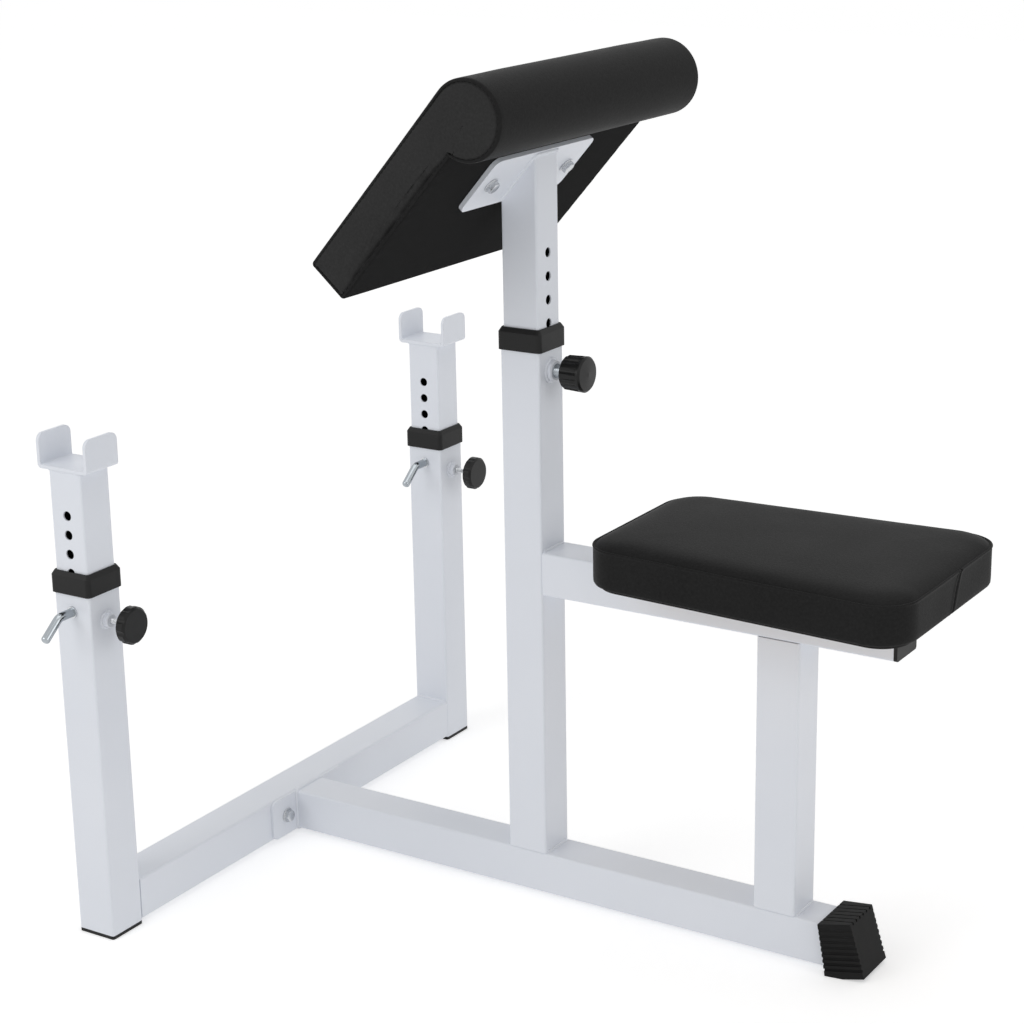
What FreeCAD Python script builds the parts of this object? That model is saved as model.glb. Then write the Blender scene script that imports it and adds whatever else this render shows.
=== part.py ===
import FreeCAD
import Part
import Sketcher
import math
import os
import re
from FreeCAD import Placement, Rotation, Vector

# A preacher curl bench: a welded frame of square tube with two barbell rests and an arm pad,
# each on a post that slides in its upright, and a seat. X runs rearwards, towards the seat,
# Z up from the floor, and the near side is at -Y. Lengths in millimetres, angles in degrees.
SIZES = {
    # Tubes of the frame, and the posts that slide inside them
    "tube_side": 50,
    "tube_wall": 2,
    "tube_corner": 3,
    "post_side": 45,
    "post_wall": 2,
    "post_corner": 2.8,
    # Layout of the frame, measured from the middle of the cross tube and from the floor
    "origin_setback": 413,
    "bench_width": 726,
    "floor_gap": 5,
    "main_spacing": 364,
    "rear_spacing": 680,
    "seat_tube_end": 811,
    "seat_tube_top": 420,
    "base_end": 768,
    # Plastic end caps
    "cap_rim": 4,
    "cap_plug": 16,
    "cap_clearance": 0.1,
    # Bolted joint between the base tube and the cross tube
    "joint_plate_width": 146,
    "joint_plate_thickness": 3,
    "joint_plate_corner": 9,
    "joint_bolt_inset": 28,
    # Fasteners of one thread size
    "bolt_radius": 4,
    "bolt_clearance": 0.3,
    "bolt_head_radius": 7.5,
    "bolt_head_height": 5.3,
    "nut_height": 6.5,
    "washer_radius": 9,
    "washer_thickness": 1.6,
    "thread_end": 6,
    # Rubber boot on the rear end of the base tube: its two leaning faces, and its sole
    "boot_height": 58,
    "boot_width_low": 70,
    "boot_width_high": 67,
    "boot_front_low": 21,
    "boot_front_high": 31.5,
    "boot_rear_height": 64.5,
    "boot_rear_width_low": 58.4,
    "boot_rear_width_high": 57,
    "boot_rear_low": 24,
    "boot_rear_high": 4.5,
    "boot_sole": 20,
    "boot_sole_lift": 6,
    "boot_sole_trim": 0.2,
    "boot_groove_radius": 1.6,
    "boot_side_grooves": 8,
    "boot_top_grooves": 6,
    # Guide collars on the uprights
    "collar_wall": 2.5,
    "collar_corner": 5,
    "collar_drop": 17,
    "collar_top": 3,
    "collar_lip": 5,
    "collar_lip_inset": 3,
    "collar_clearance": 0.3,
    # Barbell rest posts and their cradles
    "rest_height": 545,
    "rest_rise": 121,
    "rest_post_length": 215,
    "rest_hole_pitch": 21.6,
    "rest_hole_count": 7,
    "rest_holes_below": 1,
    "pin_hole_radius": 5.4,
    "cradle_length": 70,
    "cradle_width": 50,
    "cradle_height": 38,
    "cradle_thickness": 4,
    "cradle_bend": 1,
    "cradle_ear_corner": 9,
    # Lock pins of the barbell rests
    "lock_pin_drop": 37,
    "pin_radius": 5,
    "pin_chamfer": 1,
    "pin_fit": 0.05,
    "pin_setback": 0.4,
    "bush_radius": 5.9,
    "bush_flange_radius": 6.7,
    "bush_flange": 2,
    "lock_pin_reach": 22,
    "lock_pin_bend": 12,
    "lock_grip_length": 32,
    "lock_grip_angle": 39,
    "lock_grip_round": 3.5,
    # Clamp screws of the barbell rests
    "clamp_drop": 49,
    "clamp_nut_radius": 8,
    "clamp_nut_height": 8,
    "clamp_nut_chamfer": 1,
    "clamp_stud_radius": 3,
    "clamp_stud_reach": 26.5,
    "clamp_shoe_length": 3,
    "clamp_knob_radius": 21,
    "clamp_knob_length": 12,
    "clamp_knob_edge": 2.5,
    "clamp_knob_hub_radius": 9,
    "clamp_knob_hub": 4,
    "clamp_knob_stud_seat": 11,
    "clamp_flute_radius": 5,
    "clamp_flute_depth": 1.4,
    "clamp_flutes": 9,
    # Arm pad post and its plate
    "arm_height": 836,
    "arm_rise": 172,
    "arm_post_length": 296,
    "arm_hole_pitch": 26,
    "arm_hole_count": 7,
    "arm_holes_below": 1,
    "arm_slope_angle": 48.7,
    "pad_plate_width": 200,
    "pad_plate_length": 76,
    "pad_plate_thickness": 5,
    "pad_plate_corner": 10,
    "pad_bolt_inset": 24,
    # Pull pin that locks the arm pad post
    "pull_pin_drop": 40.5,
    "boss_radius": 12,
    "boss_height": 6.8,
    "boss_chamfer": 1.5,
    "sleeve_radius": 8,
    "sleeve_length": 29,
    "sleeve_spigot_radius": 7,
    "sleeve_guide": 3,
    "sleeve_chamber_radius": 6.5,
    "sleeve_end": 3,
    "stem_radius": 4,
    "pull_travel": 12,
    "shoulder_radius": 6.2,
    "shoulder_length": 2,
    "shoulder_clearance": 0.2,
    "spring_wire_radius": 0.55,
    "spring_radius": 5.2,
    "spring_turns": 4,
    "pull_knob_clearance": 0.5,
    "pull_knob_length": 27,
    "pull_knob_rear_radius": 19,
    "pull_knob_face_radius": 20,
    "pull_knob_edge": 2,
    "pull_knob_dome": 1.2,
    "pull_knob_cavity_radius": 9,
    "pull_knob_cavity": 23,
    "pull_knob_stem_seat": 2.6,
    "pull_knob_cap": 5,
    "pull_flute_radius": 4.6,
    "pull_flute_depth": 2.8,
    "pull_flutes": 10,
    # Arm pad: a slab on a board, with a roll along its upper edge
    "pad_width": 412,
    "pad_thickness": 52,
    "pad_below_post": 150,
    "pad_roll_centre": 100,
    "pad_roll_radius": 42.8,
    "pad_corner": 4,
    "pad_end_round": 4,
    "pad_crown": 3,
    "pad_crown_inset": 70,
    "board_thickness": 12,
    "board_margin": 11,
    "pad_board_above_post": 48,
    "board_clearance": 0.3,
    # Seat cushion on its board
    "seat_front": 490,
    "seat_length": 375,
    "seat_front_width": 231,
    "seat_rear_width": 267,
    "seat_lift": 4,
    "seat_thickness": 47.5,
    "seat_corner": 41,
    "seat_edge": 6,
    "seat_draw_in": 1.8,
    "seat_crown": 4,
    "seat_crown_inset": 45,
    "seat_corner_share": 0.6,
    "seat_bolt_front": 560,
    "seat_bolt_rear": 770,
}

# Places that several pieces share, worked out from the sizes
FRONT_X = "-origin_setback"
MAIN_X = "(main_spacing - origin_setback)"
MAIN_FACE_X = "(main_spacing + tube_side / 2 - origin_setback)"
FRONT_FACE_X = "(tube_side / 2 - origin_setback)"
SIDE_Y = "((bench_width - tube_side) / 2)"
LOW_TUBE_Z = "(floor_gap + tube_side / 2)"
LOW_TUBE_TOP = "(floor_gap + tube_side)"
UPRIGHT_TOP = "(rest_height - rest_rise)"
LOCK_PIN_Z = "(rest_height - rest_rise - lock_pin_drop)"
CLAMP_Z = "(rest_height - rest_rise - clamp_drop)"
MAIN_TOP = "(arm_height - arm_rise)"
PULL_PIN_Z = "(arm_height - arm_rise - pull_pin_drop)"
PULL_KNOB_GAP = "(boss_height + pull_travel + pull_knob_clearance)"
SEAT_X = "(seat_front + seat_length / 2 - origin_setback)"
PIN_BORE = "(pin_radius + pin_fit)"
BOLT_HOLE = "(bolt_radius + bolt_clearance)"
QUARTER_TURN = 90
ALONG_X = Rotation(Vector(0, 1, 0), QUARTER_TURN)
AGAINST_X = Rotation(Vector(0, 1, 0), -QUARTER_TURN)
ALONG_Y = Rotation(Vector(1, 0, 0), -QUARTER_TURN)
AGAINST_Y = Rotation(Vector(1, 0, 0), QUARTER_TURN)

doc = FreeCAD.newDocument("PreacherBench")
sheet = doc.addObject("Spreadsheet::Sheet", "Sizes")
for row, (alias, number) in enumerate(SIZES.items(), start=1):
    sheet.set(f"A{row}", alias)
    sheet.set(f"B{row}", str(number))
    sheet.setAlias(f"B{row}", alias)
doc.recompute()
pieces = []


def size(text):
    """An expression on the sheet, from one written with the names of sizes"""
    return re.sub(r"[a-z_]+", lambda word: f"Sizes.{word[0]}" if word[0] in SIZES else word[0], text)


def value(text):
    return float(sheet.evalExpression(size(text)))


def bind(item, name, text):
    item.setExpression(name, size(text))


def place(item, x="0", y="0", z="0", turn=Rotation()):
    item.Placement = Placement(Vector(), turn)
    for axis, text in zip("xyz", (x, y, z)):
        if text != "0":
            bind(item, f"Placement.Base.{axis}", text)


def place_on_slope(item):
    """Stand an item on the slanted top of the arm pad's post, its Z square to the slope"""
    place(item, x=MAIN_X, z="arm_height", turn=Rotation(Vector(0, -1, 0), value("arm_slope_angle")))
    bind(item, "Placement.Rotation.Angle", "arm_slope_angle")


def add_piece(kind, label):
    piece = doc.addObject(kind, label)
    piece.Label = label
    pieces.append(piece)
    return piece


# Sketching

def sketch_on(body, role, name, lift="0"):
    plane = next(item for item in body.Origin.OriginFeatures if item.Role == role)
    sketch = body.newObject("Sketcher::SketchObject", f"{body.Label}_{name}")
    sketch.AttachmentSupport = (plane, [""])
    sketch.MapMode = "FlatFace"
    if lift != "0":
        bind(sketch, "AttachmentOffset.Base.z", lift)
    return sketch


def dimension(sketch, kind, text, *places):
    number = sketch.addConstraint(Sketcher.Constraint(kind, *places, value(text)))
    bind(sketch, f"Constraints[{number}]", text)


def hold(sketch, geometry, point, x=None, y=None):
    """Hold a point of a sketch at its distances from the sketch's origin"""
    for kind, axis, text in (("DistanceX", -2, x), ("DistanceY", -1, y)):
        if text == "0":
            sketch.addConstraint(Sketcher.Constraint("PointOnObject", geometry, point, axis))
        elif text is not None:
            dimension(sketch, kind, text, -1, 1, geometry, point)


def outline(sketch, points):
    """A closed run of straight lines"""
    first = sketch.GeometryCount
    spots = [Vector(value(x), value(y), 0) for x, y in points]
    for start, end in zip(spots, spots[1:] + spots[:1]):
        sketch.addGeometry(Part.LineSegment(start, end), False)
    for i in range(len(points)):
        following = first + (i + 1) % len(points)
        sketch.addConstraint(Sketcher.Constraint("Coincident", first + i, 2, following, 1))
    for i, (x, y) in enumerate(points):
        hold(sketch, first + i, 1, x, y)


def circle(sketch, radius, x="0", y="0"):
    centre = Vector(value(x), value(y), 0)
    number = sketch.addGeometry(Part.Circle(centre, Vector(0, 0, 1), value(radius)), False)
    dimension(sketch, "Radius", radius, number)
    hold(sketch, number, 3, x, y)


def rounded_rectangle(sketch, width, depth, radius, y="0"):
    """A rectangle with rounded corners, centred on x 0 and the given y"""
    first = sketch.GeometryCount
    reach_x, reach_y = value(f"({width}) / 2"), value(f"({depth}) / 2")
    corner, middle = value(radius), value(y)
    in_x, in_y = reach_x - corner, reach_y - corner
    sides = [
        (Vector(-in_x, middle - reach_y), Vector(in_x, middle - reach_y), Vector(in_x, middle - in_y)),
        (Vector(reach_x, middle - in_y), Vector(reach_x, middle + in_y), Vector(in_x, middle + in_y)),
        (Vector(in_x, middle + reach_y), Vector(-in_x, middle + reach_y), Vector(-in_x, middle + in_y)),
        (Vector(-reach_x, middle + in_y), Vector(-reach_x, middle - in_y), Vector(-in_x, middle - in_y)),
    ]
    for i, (start, end, centre) in enumerate(sides):
        sketch.addGeometry(Part.LineSegment(start, end), False)
        round_start = (i - 1) * math.pi / 2
        full = Part.Circle(centre, Vector(0, 0, 1), corner)
        sketch.addGeometry(Part.ArcOfCircle(full, round_start, round_start + math.pi / 2), False)
    for i in range(4):
        line, arc = first + 2 * i, first + 2 * i + 1
        following = first + 2 * ((i + 1) % 4)
        sketch.addConstraint(Sketcher.Constraint("Tangent", line, 2, arc, 1))
        sketch.addConstraint(Sketcher.Constraint("Tangent", arc, 2, following, 1))
        sketch.addConstraint(Sketcher.Constraint("Vertical" if i % 2 else "Horizontal", line))
        if i:
            sketch.addConstraint(Sketcher.Constraint("Equal", first + 1, arc))
    dimension(sketch, "Radius", radius, first + 1)
    hold(sketch, first, 1, y=f"{y} - ({depth}) / 2")
    hold(sketch, first + 2, 1, x=f"({width}) / 2")
    hold(sketch, first + 4, 1, y=f"{y} + ({depth}) / 2")
    hold(sketch, first + 6, 1, x=f"-({width}) / 2")


def wedge_corners(length, front_width, rear_width, corner):
    """Centres of a wedge's rounded corners, each with the headings at which its arc begins and ends"""
    in_x = length / 2 - corner
    front_y = front_width / 2 - corner
    rear_y = rear_width / 2 - corner
    flare = math.atan((rear_y - front_y) / (2 * in_x))
    centres = [Vector(in_x, rear_y), Vector(-in_x, front_y), Vector(-in_x, -front_y), Vector(in_x, -rear_y)]
    turns = [0, math.pi / 2 + flare, math.pi, 3 * math.pi / 2 - flare, 2 * math.pi]
    return list(zip(centres, turns, turns[1:]))


def rounded_wedge(sketch, length, front_width, rear_width, radius):
    """A plan with rounded corners, centred on the origin, which widens from front to rear"""
    first = sketch.GeometryCount
    corner = value(radius)
    arcs = []
    for centre, begin, stop in wedge_corners(value(length), value(front_width), value(rear_width), corner):
        arcs.append(Part.ArcOfCircle(Part.Circle(centre, Vector(0, 0, 1), corner), begin, stop))
    for arc, following in zip(arcs, arcs[1:] + arcs[:1]):
        sketch.addGeometry(arc, False)
        sketch.addGeometry(Part.LineSegment(arc.EndPoint, following.StartPoint), False)
    for i in range(4):
        arc, side = first + 2 * i, first + 2 * i + 1
        sketch.addConstraint(Sketcher.Constraint("Tangent", arc, 2, side, 1))
        sketch.addConstraint(Sketcher.Constraint("Tangent", side, 2, first + 2 * ((i + 1) % 4), 1))
        if i:
            sketch.addConstraint(Sketcher.Constraint("Equal", first, arc))
        if i % 2:
            sketch.addConstraint(Sketcher.Constraint("Vertical", side))
    dimension(sketch, "Radius", radius, first)
    corner_sides = [("", rear_width), ("", front_width), ("-", front_width), ("-", rear_width)]
    for i, (sign, width) in enumerate(corner_sides):
        hold(sketch, first + 2 * i, 3, y=f"{sign}(({width}) / 2 - ({radius}))")
    hold(sketch, first + 3, 1, x=f"-({length}) / 2")
    hold(sketch, first + 7, 1, x=f"({length}) / 2")


# Features

def pad(body, sketch, length, symmetric=False, backwards=False):
    feature = body.newObject("PartDesign::Pad", f"{sketch.Name}_pad")
    feature.Profile = sketch
    bind(feature, "Length", length)
    if symmetric:
        feature.SideType = "Symmetric"
    feature.Reversed = backwards
    doc.recompute()
    return feature


def cut(body, sketch, length=None, symmetric=False, backwards=False, heading=None):
    before = body.Shape.Volume
    feature = body.newObject("PartDesign::Pocket", f"{sketch.Name}_cut")
    feature.Profile = sketch
    if length is None:
        feature.Type = "ThroughAll"
    else:
        bind(feature, "Length", length)
    if symmetric:
        feature.SideType = "Symmetric"
    if heading:
        feature.UseCustomVector = True
        feature.Direction = heading
    feature.Reversed = backwards
    doc.recompute()
    if body.Shape.Volume >= before:
        raise ValueError(f"{feature.Name} cuts nothing")
    return feature


def dress_edges(body, radius, spots, kind="Fillet", name="Radius"):
    """Round, or chamfer, the edges of a body whose middles lie at the given spots"""
    base = body.Tip
    names = []
    for spot in spots:
        distances = [edge.BoundBox.Center.distanceToPoint(spot) for edge in base.Shape.Edges]
        names.append(f"Edge{distances.index(min(distances)) + 1}")
    feature = body.newObject(f"PartDesign::{kind}", f"{base.Name}_{kind}")
    feature.Base = (base, names)
    bind(feature, name, radius)
    doc.recompute()


def turned(label, profile):
    """A piece turned about Z, from a profile of radius and height"""
    body = add_piece("PartDesign::Body", label)
    sketch = sketch_on(body, "XZ_Plane", "profile")
    outline(sketch, profile)
    feature = body.newObject("PartDesign::Revolution", f"{label}_turn")
    feature.Profile = sketch
    feature.ReferenceAxis = (sketch, ["V_Axis"])
    doc.recompute()
    return body


def flutes(body, radius, at, count, length):
    """Finger flutes up the side of a knob"""
    sketch = sketch_on(body, "XY_Plane", "flute")
    circle(sketch, radius, x=at)
    flute = cut(body, sketch, length, backwards=True)
    pattern = body.newObject("PartDesign::PolarPattern", f"{body.Label}_flutes")
    pattern.Originals = [flute]
    pattern.Axis = (sketch, ["N_Axis"])
    bind(pattern, "Occurrences", count)
    body.Tip = pattern
    doc.recompute()


def square_tube(label, side, wall, corner, length):
    body = add_piece("PartDesign::Body", label)
    section = sketch_on(body, "XY_Plane", "section")
    bore = f"{side} - 2 * {wall}"
    rounded_rectangle(section, side, side, corner)
    rounded_rectangle(section, bore, bore, f"{corner} - {wall}")
    pad(body, section, length)
    return body


def frame_tube(label, length):
    return square_tube(label, "tube_side", "tube_wall", "tube_corner", length)


def wall_hole(body, role, radius, height):
    """A hole through one wall of an upright tube: the rear wall on YZ, the near wall on XZ"""
    sketch = sketch_on(body, role, "hole")
    circle(sketch, radius, y=height)
    return sketch, cut(body, sketch, "tube_side", backwards=True)


def hole_row(body, role, radius, height, pitch, count):
    """A row of holes up one wall of a post"""
    sketch, hole = wall_hole(body, role, radius, height)
    pattern = body.newObject("PartDesign::LinearPattern", f"{body.Label}_row")
    pattern.Originals = [hole]
    pattern.Direction = (sketch, ["V_Axis"])
    bind(pattern, "Length", f"{pitch} * ({count} - 1)")
    bind(pattern, "Occurrences", count)
    body.Tip = pattern
    doc.recompute()


def end_cap(label):
    """A plastic cap with its rim on the end of a tube and its plug inside"""
    body = add_piece("PartDesign::Body", label)
    rim = sketch_on(body, "XY_Plane", "rim")
    rounded_rectangle(rim, "tube_side", "tube_side", "tube_corner")
    pad(body, rim, "cap_rim")
    plug = sketch_on(body, "XY_Plane", "plug", lift="cap_rim")
    plug_side = "tube_side - 2 * tube_wall - 2 * cap_clearance"
    rounded_rectangle(plug, plug_side, plug_side, "tube_corner - tube_wall")
    pad(body, plug, "cap_plug")
    return body


def collar(label):
    """A guide collar: a skirt over the tube, and a lipped top that the post slides through"""
    body = add_piece("PartDesign::Body", label)
    outer = "tube_side + 2 * collar_wall"
    block = sketch_on(body, "XY_Plane", "block", lift="-collar_drop")
    rounded_rectangle(block, outer, outer, "collar_corner")
    pad(body, block, "collar_drop + collar_top")
    low = sketch_on(body, "XY_Plane", "lip_low", lift="collar_top")
    rounded_rectangle(low, outer, outer, "collar_corner")
    high = sketch_on(body, "XY_Plane", "lip_high", lift="collar_top + collar_lip")
    inset = f"{outer} - 2 * collar_lip_inset"
    rounded_rectangle(high, inset, inset, "collar_corner - collar_wall / 2")
    lip = body.newObject("PartDesign::AdditiveLoft", f"{label}_lip")
    lip.Profile = low
    lip.Sections = [high]
    doc.recompute()
    socket = sketch_on(body, "XY_Plane", "socket")
    rounded_rectangle(socket, "tube_side", "tube_side", "tube_corner")
    cut(body, socket)
    opening = sketch_on(body, "XY_Plane", "opening")
    gap = "post_side + 2 * collar_clearance"
    rounded_rectangle(opening, gap, gap, "post_corner + collar_clearance")
    cut(body, opening, symmetric=True)
    return body


# Fasteners

def part_of(kind, **sizes):
    item = doc.addObject(kind, "solid")
    for name, text in sizes.items():
        bind(item, name, text)
    return item


def group(label, solids):
    piece = add_piece("Part::Compound", label)
    piece.Links = solids
    doc.recompute()
    return piece


def hex_bolts(label, length, places):
    """Bolts that point up Z with the undersides of their heads at the given places"""
    bolts = []
    for x, y, z in places:
        head = part_of("Part::Prism", Circumradius="bolt_head_radius", Height="bolt_head_height")
        place(head, x, y, f"{z} - bolt_head_height")
        shank = part_of("Part::Cylinder", Radius="bolt_radius", Height=length)
        place(shank, x, y, z)
        bolt = doc.addObject("Part::Fuse", f"{label}_bolt")
        bolt.Base, bolt.Tool = head, shank
        bolts.append(bolt)
    return group(label, bolts)


def ring_of(outer, height, x, y, z):
    """A washer's or nut's body, drilled for the bolt"""
    drill = part_of("Part::Cylinder", Radius=BOLT_HOLE, Height=height)
    for item in (outer, drill):
        place(item, x, y, z)
    ring = doc.addObject("Part::Cut", "ring")
    ring.Base, ring.Tool = outer, drill
    return ring


def washers(label, places):
    rings = []
    for x, y, z in places:
        disc = part_of("Part::Cylinder", Radius="washer_radius", Height="washer_thickness")
        rings.append(ring_of(disc, "washer_thickness", x, y, z))
    return group(label, rings)


def hex_nuts(label, places):
    nuts = []
    for x, y, z in places:
        prism = part_of("Part::Prism", Circumradius="bolt_head_radius", Height="nut_height")
        nuts.append(ring_of(prism, "nut_height", x, y, z))
    return group(label, nuts)


# Cross tube, its two uprights and their foot caps

cross_length = "(bench_width - 2 * tube_side)"
joint_bolt_y = ["(joint_plate_width / 2 - joint_bolt_inset)", "-(joint_plate_width / 2 - joint_bolt_inset)"]
cross_tube = frame_tube("cross_tube", cross_length)
place(cross_tube, FRONT_X, f"-{cross_length} / 2", LOW_TUBE_Z, ALONG_Y)
joint_holes = sketch_on(cross_tube, "YZ_Plane", "holes")
for y in joint_bolt_y:
    circle(joint_holes, BOLT_HOLE, y=f"{cross_length} / 2 + {y}")
cut(cross_tube, joint_holes, symmetric=True)

for side, side_y in (("near", f"-{SIDE_Y}"), ("far", SIDE_Y)):
    upright = frame_tube(f"{side}_upright", f"{UPRIGHT_TOP} - cap_rim")
    wall_hole(upright, "XZ_Plane", "bush_radius", f"{LOCK_PIN_Z} - cap_rim")
    wall_hole(upright, "YZ_Plane", "clamp_stud_radius + pin_fit", f"{CLAMP_Z} - cap_rim")
    place(upright, FRONT_X, side_y, "cap_rim")
    place(end_cap(f"{side}_foot_cap"), FRONT_X, side_y)
    place(collar(f"{side}_collar"), FRONT_X, side_y, UPRIGHT_TOP)

# Base tube, bolted through its plate to the cross tube

base_start = "(tube_side / 2 + joint_plate_thickness)"
base_tube = frame_tube("base_tube", f"base_end - {base_start}")
place(base_tube, f"{base_start} - origin_setback", z=LOW_TUBE_Z, turn=ALONG_X)

joint_plate = add_piece("PartDesign::Body", "joint_plate")
plate_shape = sketch_on(joint_plate, "YZ_Plane", "shape")
rounded_rectangle(plate_shape, "joint_plate_width", "tube_side", "joint_plate_corner")
for y in joint_bolt_y:
    circle(plate_shape, BOLT_HOLE, x=y)
pad(joint_plate, plate_shape, "joint_plate_thickness")
place(joint_plate, FRONT_FACE_X, z=LOW_TUBE_Z)

# The joint's fasteners point forwards, from the plate's rear face to the cross tube's front face
grip = "(joint_plate_thickness + tube_side)"
joint_bolts = hex_bolts(
    "joint_bolts",
    f"{grip} + 2 * washer_thickness + nut_height + thread_end",
    [("0", y, "-washer_thickness") for y in joint_bolt_y],
)
washer_spots = [("0", y, z) for y in joint_bolt_y for z in ("-washer_thickness", grip)]
joint_washers = washers("joint_washers", washer_spots)
joint_nuts = hex_nuts("joint_nuts", [("0", y, f"{grip} + washer_thickness") for y in joint_bolt_y])
for item in (joint_bolts, joint_washers, joint_nuts):
    place(item, f"{FRONT_FACE_X} + joint_plate_thickness", z=LOW_TUBE_Z, turn=AGAINST_X)

# Main upright, rear post and seat tube

main_upright = frame_tube("main_upright", f"{MAIN_TOP} - {LOW_TUBE_TOP}")
wall_hole(main_upright, "YZ_Plane", "sleeve_spigot_radius", f"{PULL_PIN_Z} - {LOW_TUBE_TOP}")
place(main_upright, MAIN_X, z=LOW_TUBE_TOP)
place(collar("main_collar"), MAIN_X, z=MAIN_TOP)

rear_post = frame_tube("rear_post", f"seat_tube_top - tube_side - {LOW_TUBE_TOP}")
place(rear_post, "rear_spacing - origin_setback", z=LOW_TUBE_TOP)

seat_bolt_x = ["seat_bolt_front", "seat_bolt_rear"]
seat_tube = frame_tube("seat_tube", "seat_tube_end - main_spacing - tube_side / 2")
seat_holes = sketch_on(seat_tube, "YZ_Plane", "holes")
for x in seat_bolt_x:
    circle(seat_holes, BOLT_HOLE, y=f"{x} - main_spacing - tube_side / 2")
cut(seat_tube, seat_holes, symmetric=True)
place(seat_tube, MAIN_FACE_X, z="seat_tube_top - tube_side / 2", turn=ALONG_X)
seat_cap_x = "seat_tube_end + cap_rim - origin_setback"
place(end_cap("seat_tube_cap"), seat_cap_x, z="seat_tube_top - tube_side / 2", turn=AGAINST_X)

# Rubber boot: a ribbed block between two leaning faces, which narrows and rises rearwards, pushed on the
# end of the base tube. Behind the flat part its sole lifts off the floor.

rear_foot = add_piece("PartDesign::Body", "rear_foot")


def boot_face(name, low, high, height, width_low, width_high):
    """A face of the boot that leans from its foot on the floor to its top edge"""
    sketch = sketch_on(rear_foot, "YZ_Plane", name)
    lean = f"atan(({high} - ({low})) / {height})"
    sketch.AttachmentOffset = Placement(Vector(), Rotation(Vector(1, 0, 0), value(lean)))
    bind(sketch, "AttachmentOffset.Base.z", low)
    bind(sketch, "AttachmentOffset.Rotation.Angle", lean)
    slant = f"{height} / cos({lean})"
    outline(sketch, [
        (f"-{width_low} / 2", "-boot_sole_trim"),
        (f"{width_low} / 2", "-boot_sole_trim"),
        (f"{width_high} / 2", slant),
        (f"-{width_high} / 2", slant),
    ])
    return sketch


boot_block = rear_foot.newObject("PartDesign::AdditiveLoft", "rear_foot_block")
boot_block.Profile = boot_face(
    "front", "-boot_front_low", "-boot_front_high", "boot_height", "boot_width_low", "boot_width_high"
)
boot_block.Sections = [boot_face(
    "rear", "boot_rear_low", "boot_rear_high", "boot_rear_height",
    "boot_rear_width_low", "boot_rear_width_high",
)]
boot_block.Ruled = True
doc.recompute()
sole = sketch_on(rear_foot, "XZ_Plane", "sole")
sole_over = "(boot_rear_low + boot_sole_lift)"
outline(sole, [
    ("-boot_front_high", "0"),
    ("-boot_front_high", "-boot_sole_lift"),
    (sole_over, "-boot_sole_lift"),
    (sole_over, "boot_sole_lift"),
    ("boot_sole - boot_front_low", "0"),
])
cut(rear_foot, sole, symmetric=True)
boot_socket = sketch_on(rear_foot, "YZ_Plane", "socket")
rounded_rectangle(boot_socket, "tube_side", "tube_side", "tube_corner", y=LOW_TUBE_Z)
cut(rear_foot, boot_socket)

# Its grooves run from face to face, along each side and along the top
front_depth = "(boot_front_low + boot_front_high) / 2"
rear_depth = "(boot_rear_low + boot_rear_high) / 2"
boot_run = f"({front_depth} + {rear_depth})"


def at_tube_end(front, rear):
    return f"({front} + ({rear} - {front}) * {front_depth} / {boot_run})"


wall_low = at_tube_end("boot_width_low", "boot_rear_width_low")
wall_high = at_tube_end("boot_width_high", "boot_rear_width_high")
wall_top = at_tube_end("boot_height", "boot_rear_height")
wall_foot = at_tube_end("0", "boot_sole_lift")
side_taper = "((boot_rear_width_low + boot_rear_width_high - boot_width_low - boot_width_high) / 4)"
side_climb = "((boot_rear_height + boot_sole_lift - boot_height) / 2)"
top_climb = f"((boot_rear_height - boot_height) * {boot_run} / (boot_front_high + boot_rear_high))"


def boot_grooves(name, spots, across, climb):
    """Grooves that pass the tube's end at the given spots, cut forwards from behind the boot"""
    sketch = sketch_on(rear_foot, "YZ_Plane", f"{name}_grooves", lift="boot_rear_low")
    for y, z in spots:
        behind_y = f"{y} + {across} * boot_rear_low / {boot_run}"
        circle(sketch, "boot_groove_radius", behind_y, f"{z} + {climb} * boot_rear_low / {boot_run}")
    cut(rear_foot, sketch, heading=Vector(-value(boot_run), -value(across), -value(climb)))


for name, sign in (("near", "-"), ("far", "")):
    side_spots = []
    for i in range(int(value("boot_side_grooves"))):
        up_share = f"({i} + 1) / (boot_side_grooves + 1)"
        wall_y = f"({wall_low} + ({wall_high} - {wall_low}) * {up_share}) / 2"
        side_spots.append((f"{sign}({wall_y})", f"{wall_foot} + ({wall_top} - {wall_foot}) * {up_share}"))
    boot_grooves(name, side_spots, f"{sign}{side_taper}", side_climb)
top_spots = []
for i in range(int(value("boot_top_grooves"))):
    across_share = f"(({i} + 1) / (boot_top_grooves + 1) - 1 / 2)"
    top_spots.append((f"{wall_high} * {across_share}", wall_top))
boot_grooves("top", top_spots, "0", top_climb)
place(rear_foot, "base_end - origin_setback")

# Barbell rests: a drilled post with a cradle bent from strip welded on top

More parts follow.
